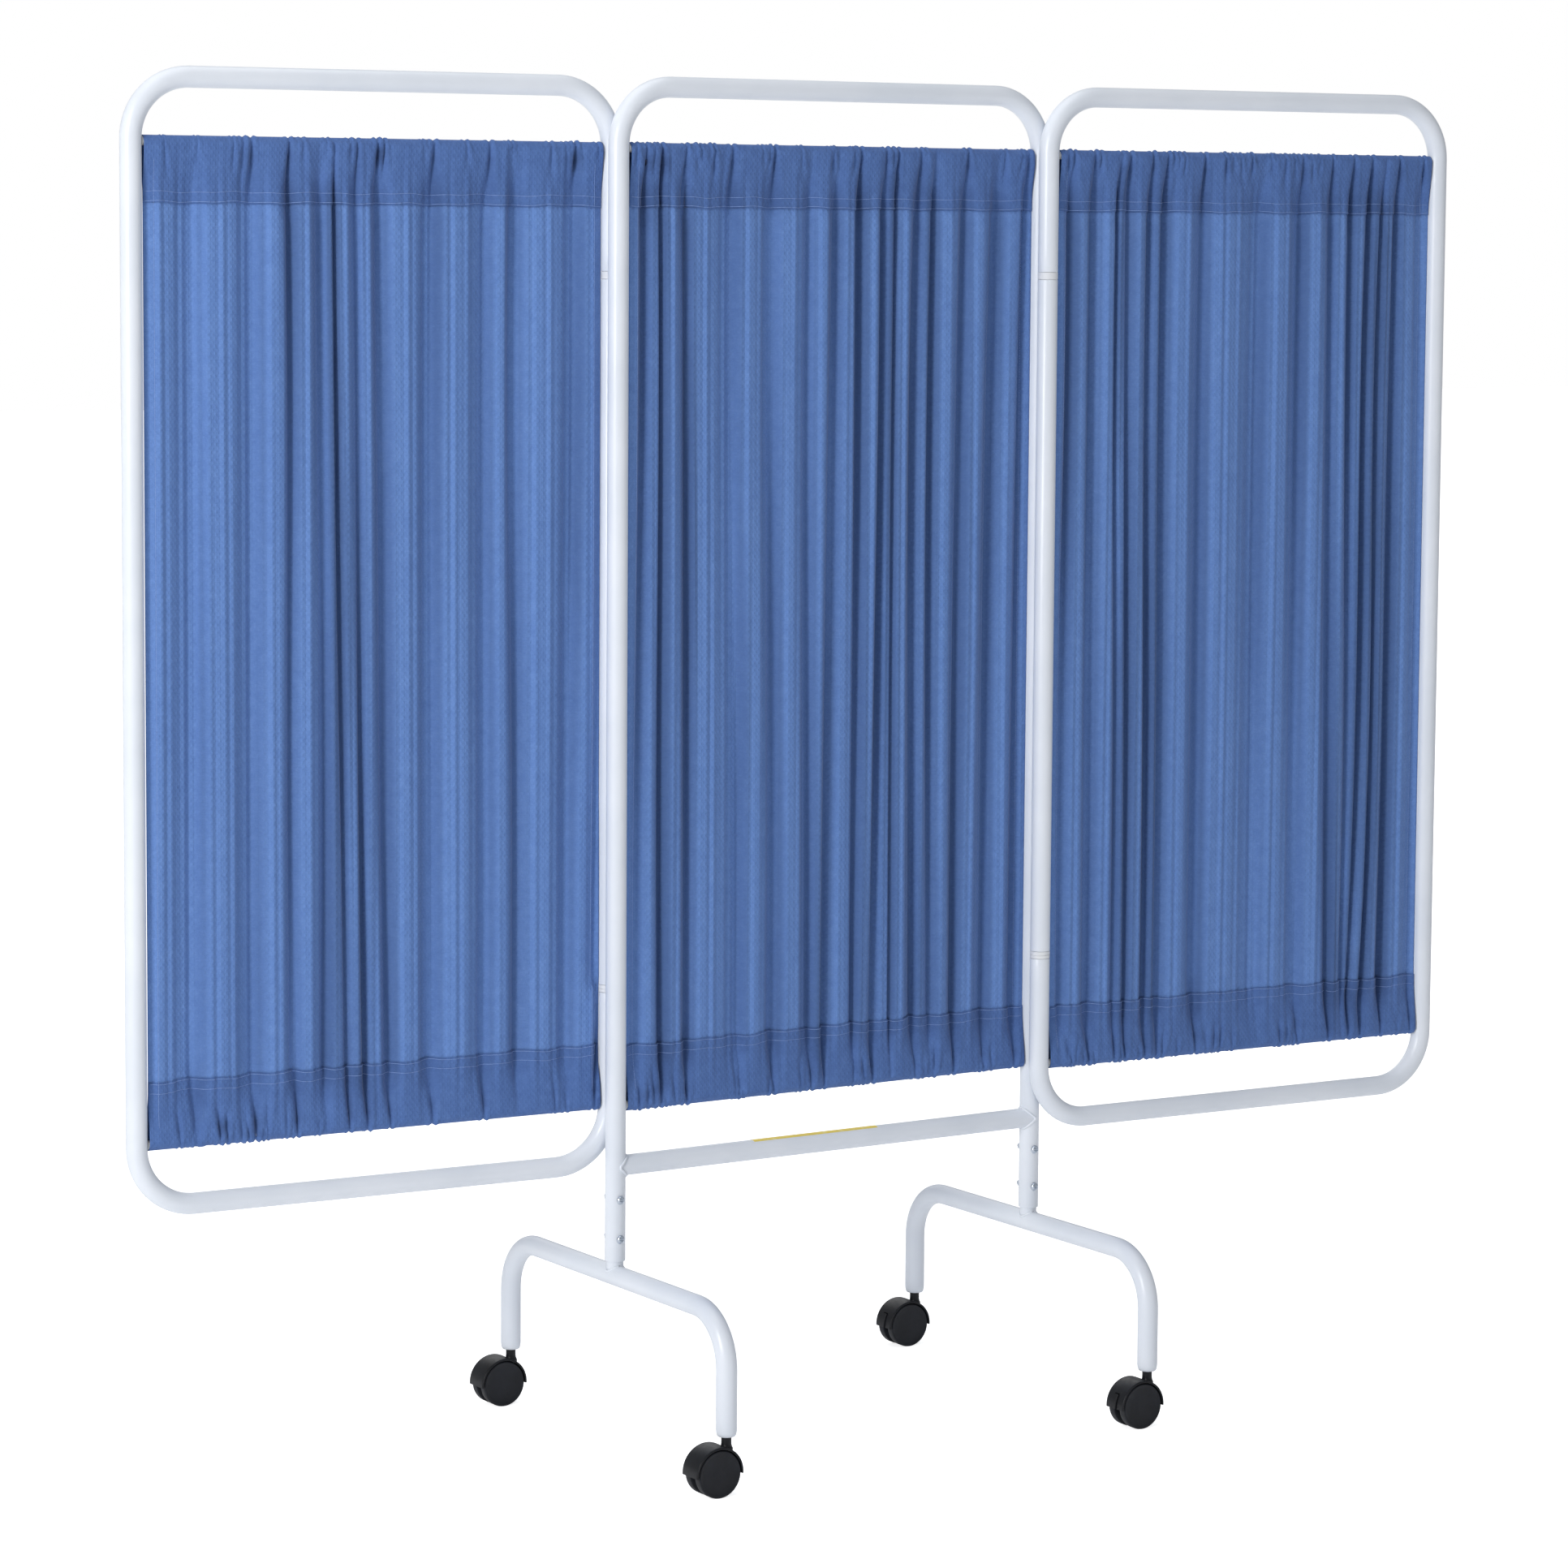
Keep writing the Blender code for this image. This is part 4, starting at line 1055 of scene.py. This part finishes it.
def castor(prefix, x, depth, braked):
    """Hood, axle, wheels and lever under one leg end."""
    stem = on_panel(x, depth, 0.0)
    hub = stem + Vector((-CASTOR_TRAIL, 0.0, WHEEL_R))
    settle(hood(prefix, stem, braked), prefix, "castor_body", f"{prefix}_hood")
    reach = WHEEL_OUTER - 0.0040
    pin = [(0.0025, -reach), (0.0030, -reach + 0.0005), (0.0030, reach - 0.0005), (0.0025, reach)]
    settle(lathe(f"{prefix}_axle_pin", pin, hub, BACK, STEEL, 24), prefix, "steel", f"{prefix}_axle")
    base = prefix.replace("_castor", "")
    for word, side in (("front", -1.0), ("back", 1.0)):
        piece = wheel(f"{prefix}_{word}_wheel_disc", stem, side)
        settle(piece, f"{base}_wheel_{word}", "castor_wheel", f"{prefix}_wheel_{word}")
    if braked:
        first, last = LEVER_ARC_DEG
        low, high = LEVER_RADII
        half, edge = LEVER_WIDTH / 2.0, 0.0007
        section = [(low, -half + edge), (low + edge, -half), (high - edge, -half), (high, -half + edge)]
        section += [(radius, -y) for radius, y in reversed(section)]
        lever = new_piece(f"{prefix}_lever_tab", *sweep_section(section, hub, first, last, 18), [HOOD])
        settle(lever, f"{base}_brake", "castor_body", f"{prefix}_brake_lever")


# ---- stage --------------------------------------------------------------
FLOOR_HALF = 30.0
LENS_MM = 108.297
SENSOR_MM = 36.0
SHIFT_Y = -0.0704          # share of the frame width, as the photo's framing asks
CAMERA_PLACE = (-3.18285, -4.80641, 1.46382)
CAMERA_YAW_DEG = 32.928    # from +Y towards +X
CAMERA_PITCH_DEG = -5.343
CAMERA_ROLL_DEG = -0.385


def area_light(name, place, target, size, power, colour=(1.0, 1.0, 1.0)):
    """Large soft light aimed at a point."""
    data = bpy.data.lights.new(name, "AREA")
    data.shape = "RECTANGLE"
    data.size, data.size_y = size
    data.energy = power
    data.color = colour
    obj = bpy.data.objects.new(name, data)
    obj.location = place
    obj.rotation_euler = (Vector(target) - Vector(place)).to_track_quat("-Z", "Y").to_euler()
    bpy.context.scene.collection.objects.link(obj)


def stage():
    """Floor, white surround, lights and camera."""
    verts = [(x * FLOOR_HALF, y * FLOOR_HALF, 0.0) for x, y in ((-1, -1), (1, -1), (1, 1), (-1, 1))]
    floor = new_piece("floor", verts, [(0, 1, 2, 3)], [floor_surface()])
    world = bpy.data.worlds.new("studio")
    bpy.context.scene.world = world
    world.use_nodes = True
    nodes = world.node_tree.nodes
    links = world.node_tree.links
    glow = nodes["Background"]
    glow.inputs["Color"].default_value = (0.95, 0.97, 1.0, 1.0)
    glow.inputs["Strength"].default_value = 0.37
    plain = nodes.new("ShaderNodeBackground")
    plain.inputs["Color"].default_value = (1.0, 1.0, 1.0, 1.0)
    plain.inputs["Strength"].default_value = 1.0
    seen = nodes.new("ShaderNodeLightPath")
    mix = nodes.new("ShaderNodeMixShader")
    links.new(seen.outputs["Is Camera Ray"], mix.inputs[0])
    links.new(glow.outputs[0], mix.inputs[1])
    links.new(plain.outputs[0], mix.inputs[2])
    links.new(mix.outputs[0], nodes["World Output"].inputs["Surface"])
    area_light("key", (-5.0, -2.1, 2.4), (0.0, 0.0, 0.9), (1.2, 2.4), 150.0, (1.0, 0.99, 0.98))
    area_light("top", (-0.6, 0.2, 4.6), (0.0, 0.0, 0.8), (4.0, 3.0), 60.0)
    area_light("behind", (1.5, 4.5, 2.6), (0.0, 0.0, 0.9), (3.5, 2.5), 24.0)
    aim_camera()
    bpy.context.scene.view_settings.view_transform = "Standard"


def aim_camera():
    """Camera at the photo's place, turned by yaw, pitch and roll."""
    yaw, pitch, roll = (math.radians(a) for a in (CAMERA_YAW_DEG, CAMERA_PITCH_DEG, CAMERA_ROLL_DEG))
    ahead = Vector((math.sin(yaw) * math.cos(pitch), math.cos(yaw) * math.cos(pitch), math.sin(pitch)))
    right = Vector((math.cos(yaw), -math.sin(yaw), 0.0))
    down = ahead.cross(right)
    turned = right * math.cos(roll) + down * math.sin(roll)
    lower = down * math.cos(roll) - right * math.sin(roll)
    data = bpy.data.cameras.new("camera")
    data.sensor_width = SENSOR_MM
    data.lens = LENS_MM
    data.shift_y = SHIFT_Y
    data.clip_end = 200.0
    camera = bpy.data.objects.new("camera", data)
    axes = Matrix((turned, -lower, -ahead)).transposed()
    camera.matrix_world = Matrix.Translation(Vector(CAMERA_PLACE)) @ axes.to_4x4()
    bpy.context.scene.collection.objects.link(camera)
    bpy.context.scene.camera = camera


# ---- assembly -----------------------------------------------------------
def build():
    """Everything on the object."""
    centre_frame()
    for word, side in (("left", -1), ("right", 1)):
        wing(word, side)
        leg(word, side)
        x = side * HALF
        castor(f"{word}_front_castor", x, -LEG_HALF_SPAN, side > 0)
        castor(f"{word}_back_castor", x, LEG_HALF_SPAN, side > 0)
        body = f"{word}_wing"
        curtain_fittings(body, body, hinge_foot(side), wing_direction(side), WING_WIDTH)
    curtain_fittings("centre", "centre", on_panel(-HALF, 0.0, 0.0), ALONG, 2.0 * HALF)
    curtain("centre", "centre", on_panel(-HALF, 0.0, 0.0), ALONG, 2.0 * HALF, 21, 0.037)
    left_out = wing_direction(-1)
    left_far = hinge_foot(-1) + left_out * WING_WIDTH
    curtain("left_wing", "left_wing", left_far, -left_out, WING_WIDTH, 11, 0.047)
    curtain("right_wing", "right_wing", hinge_foot(1), wing_direction(1), WING_WIDTH, 33, 0.041)


build()
stage()
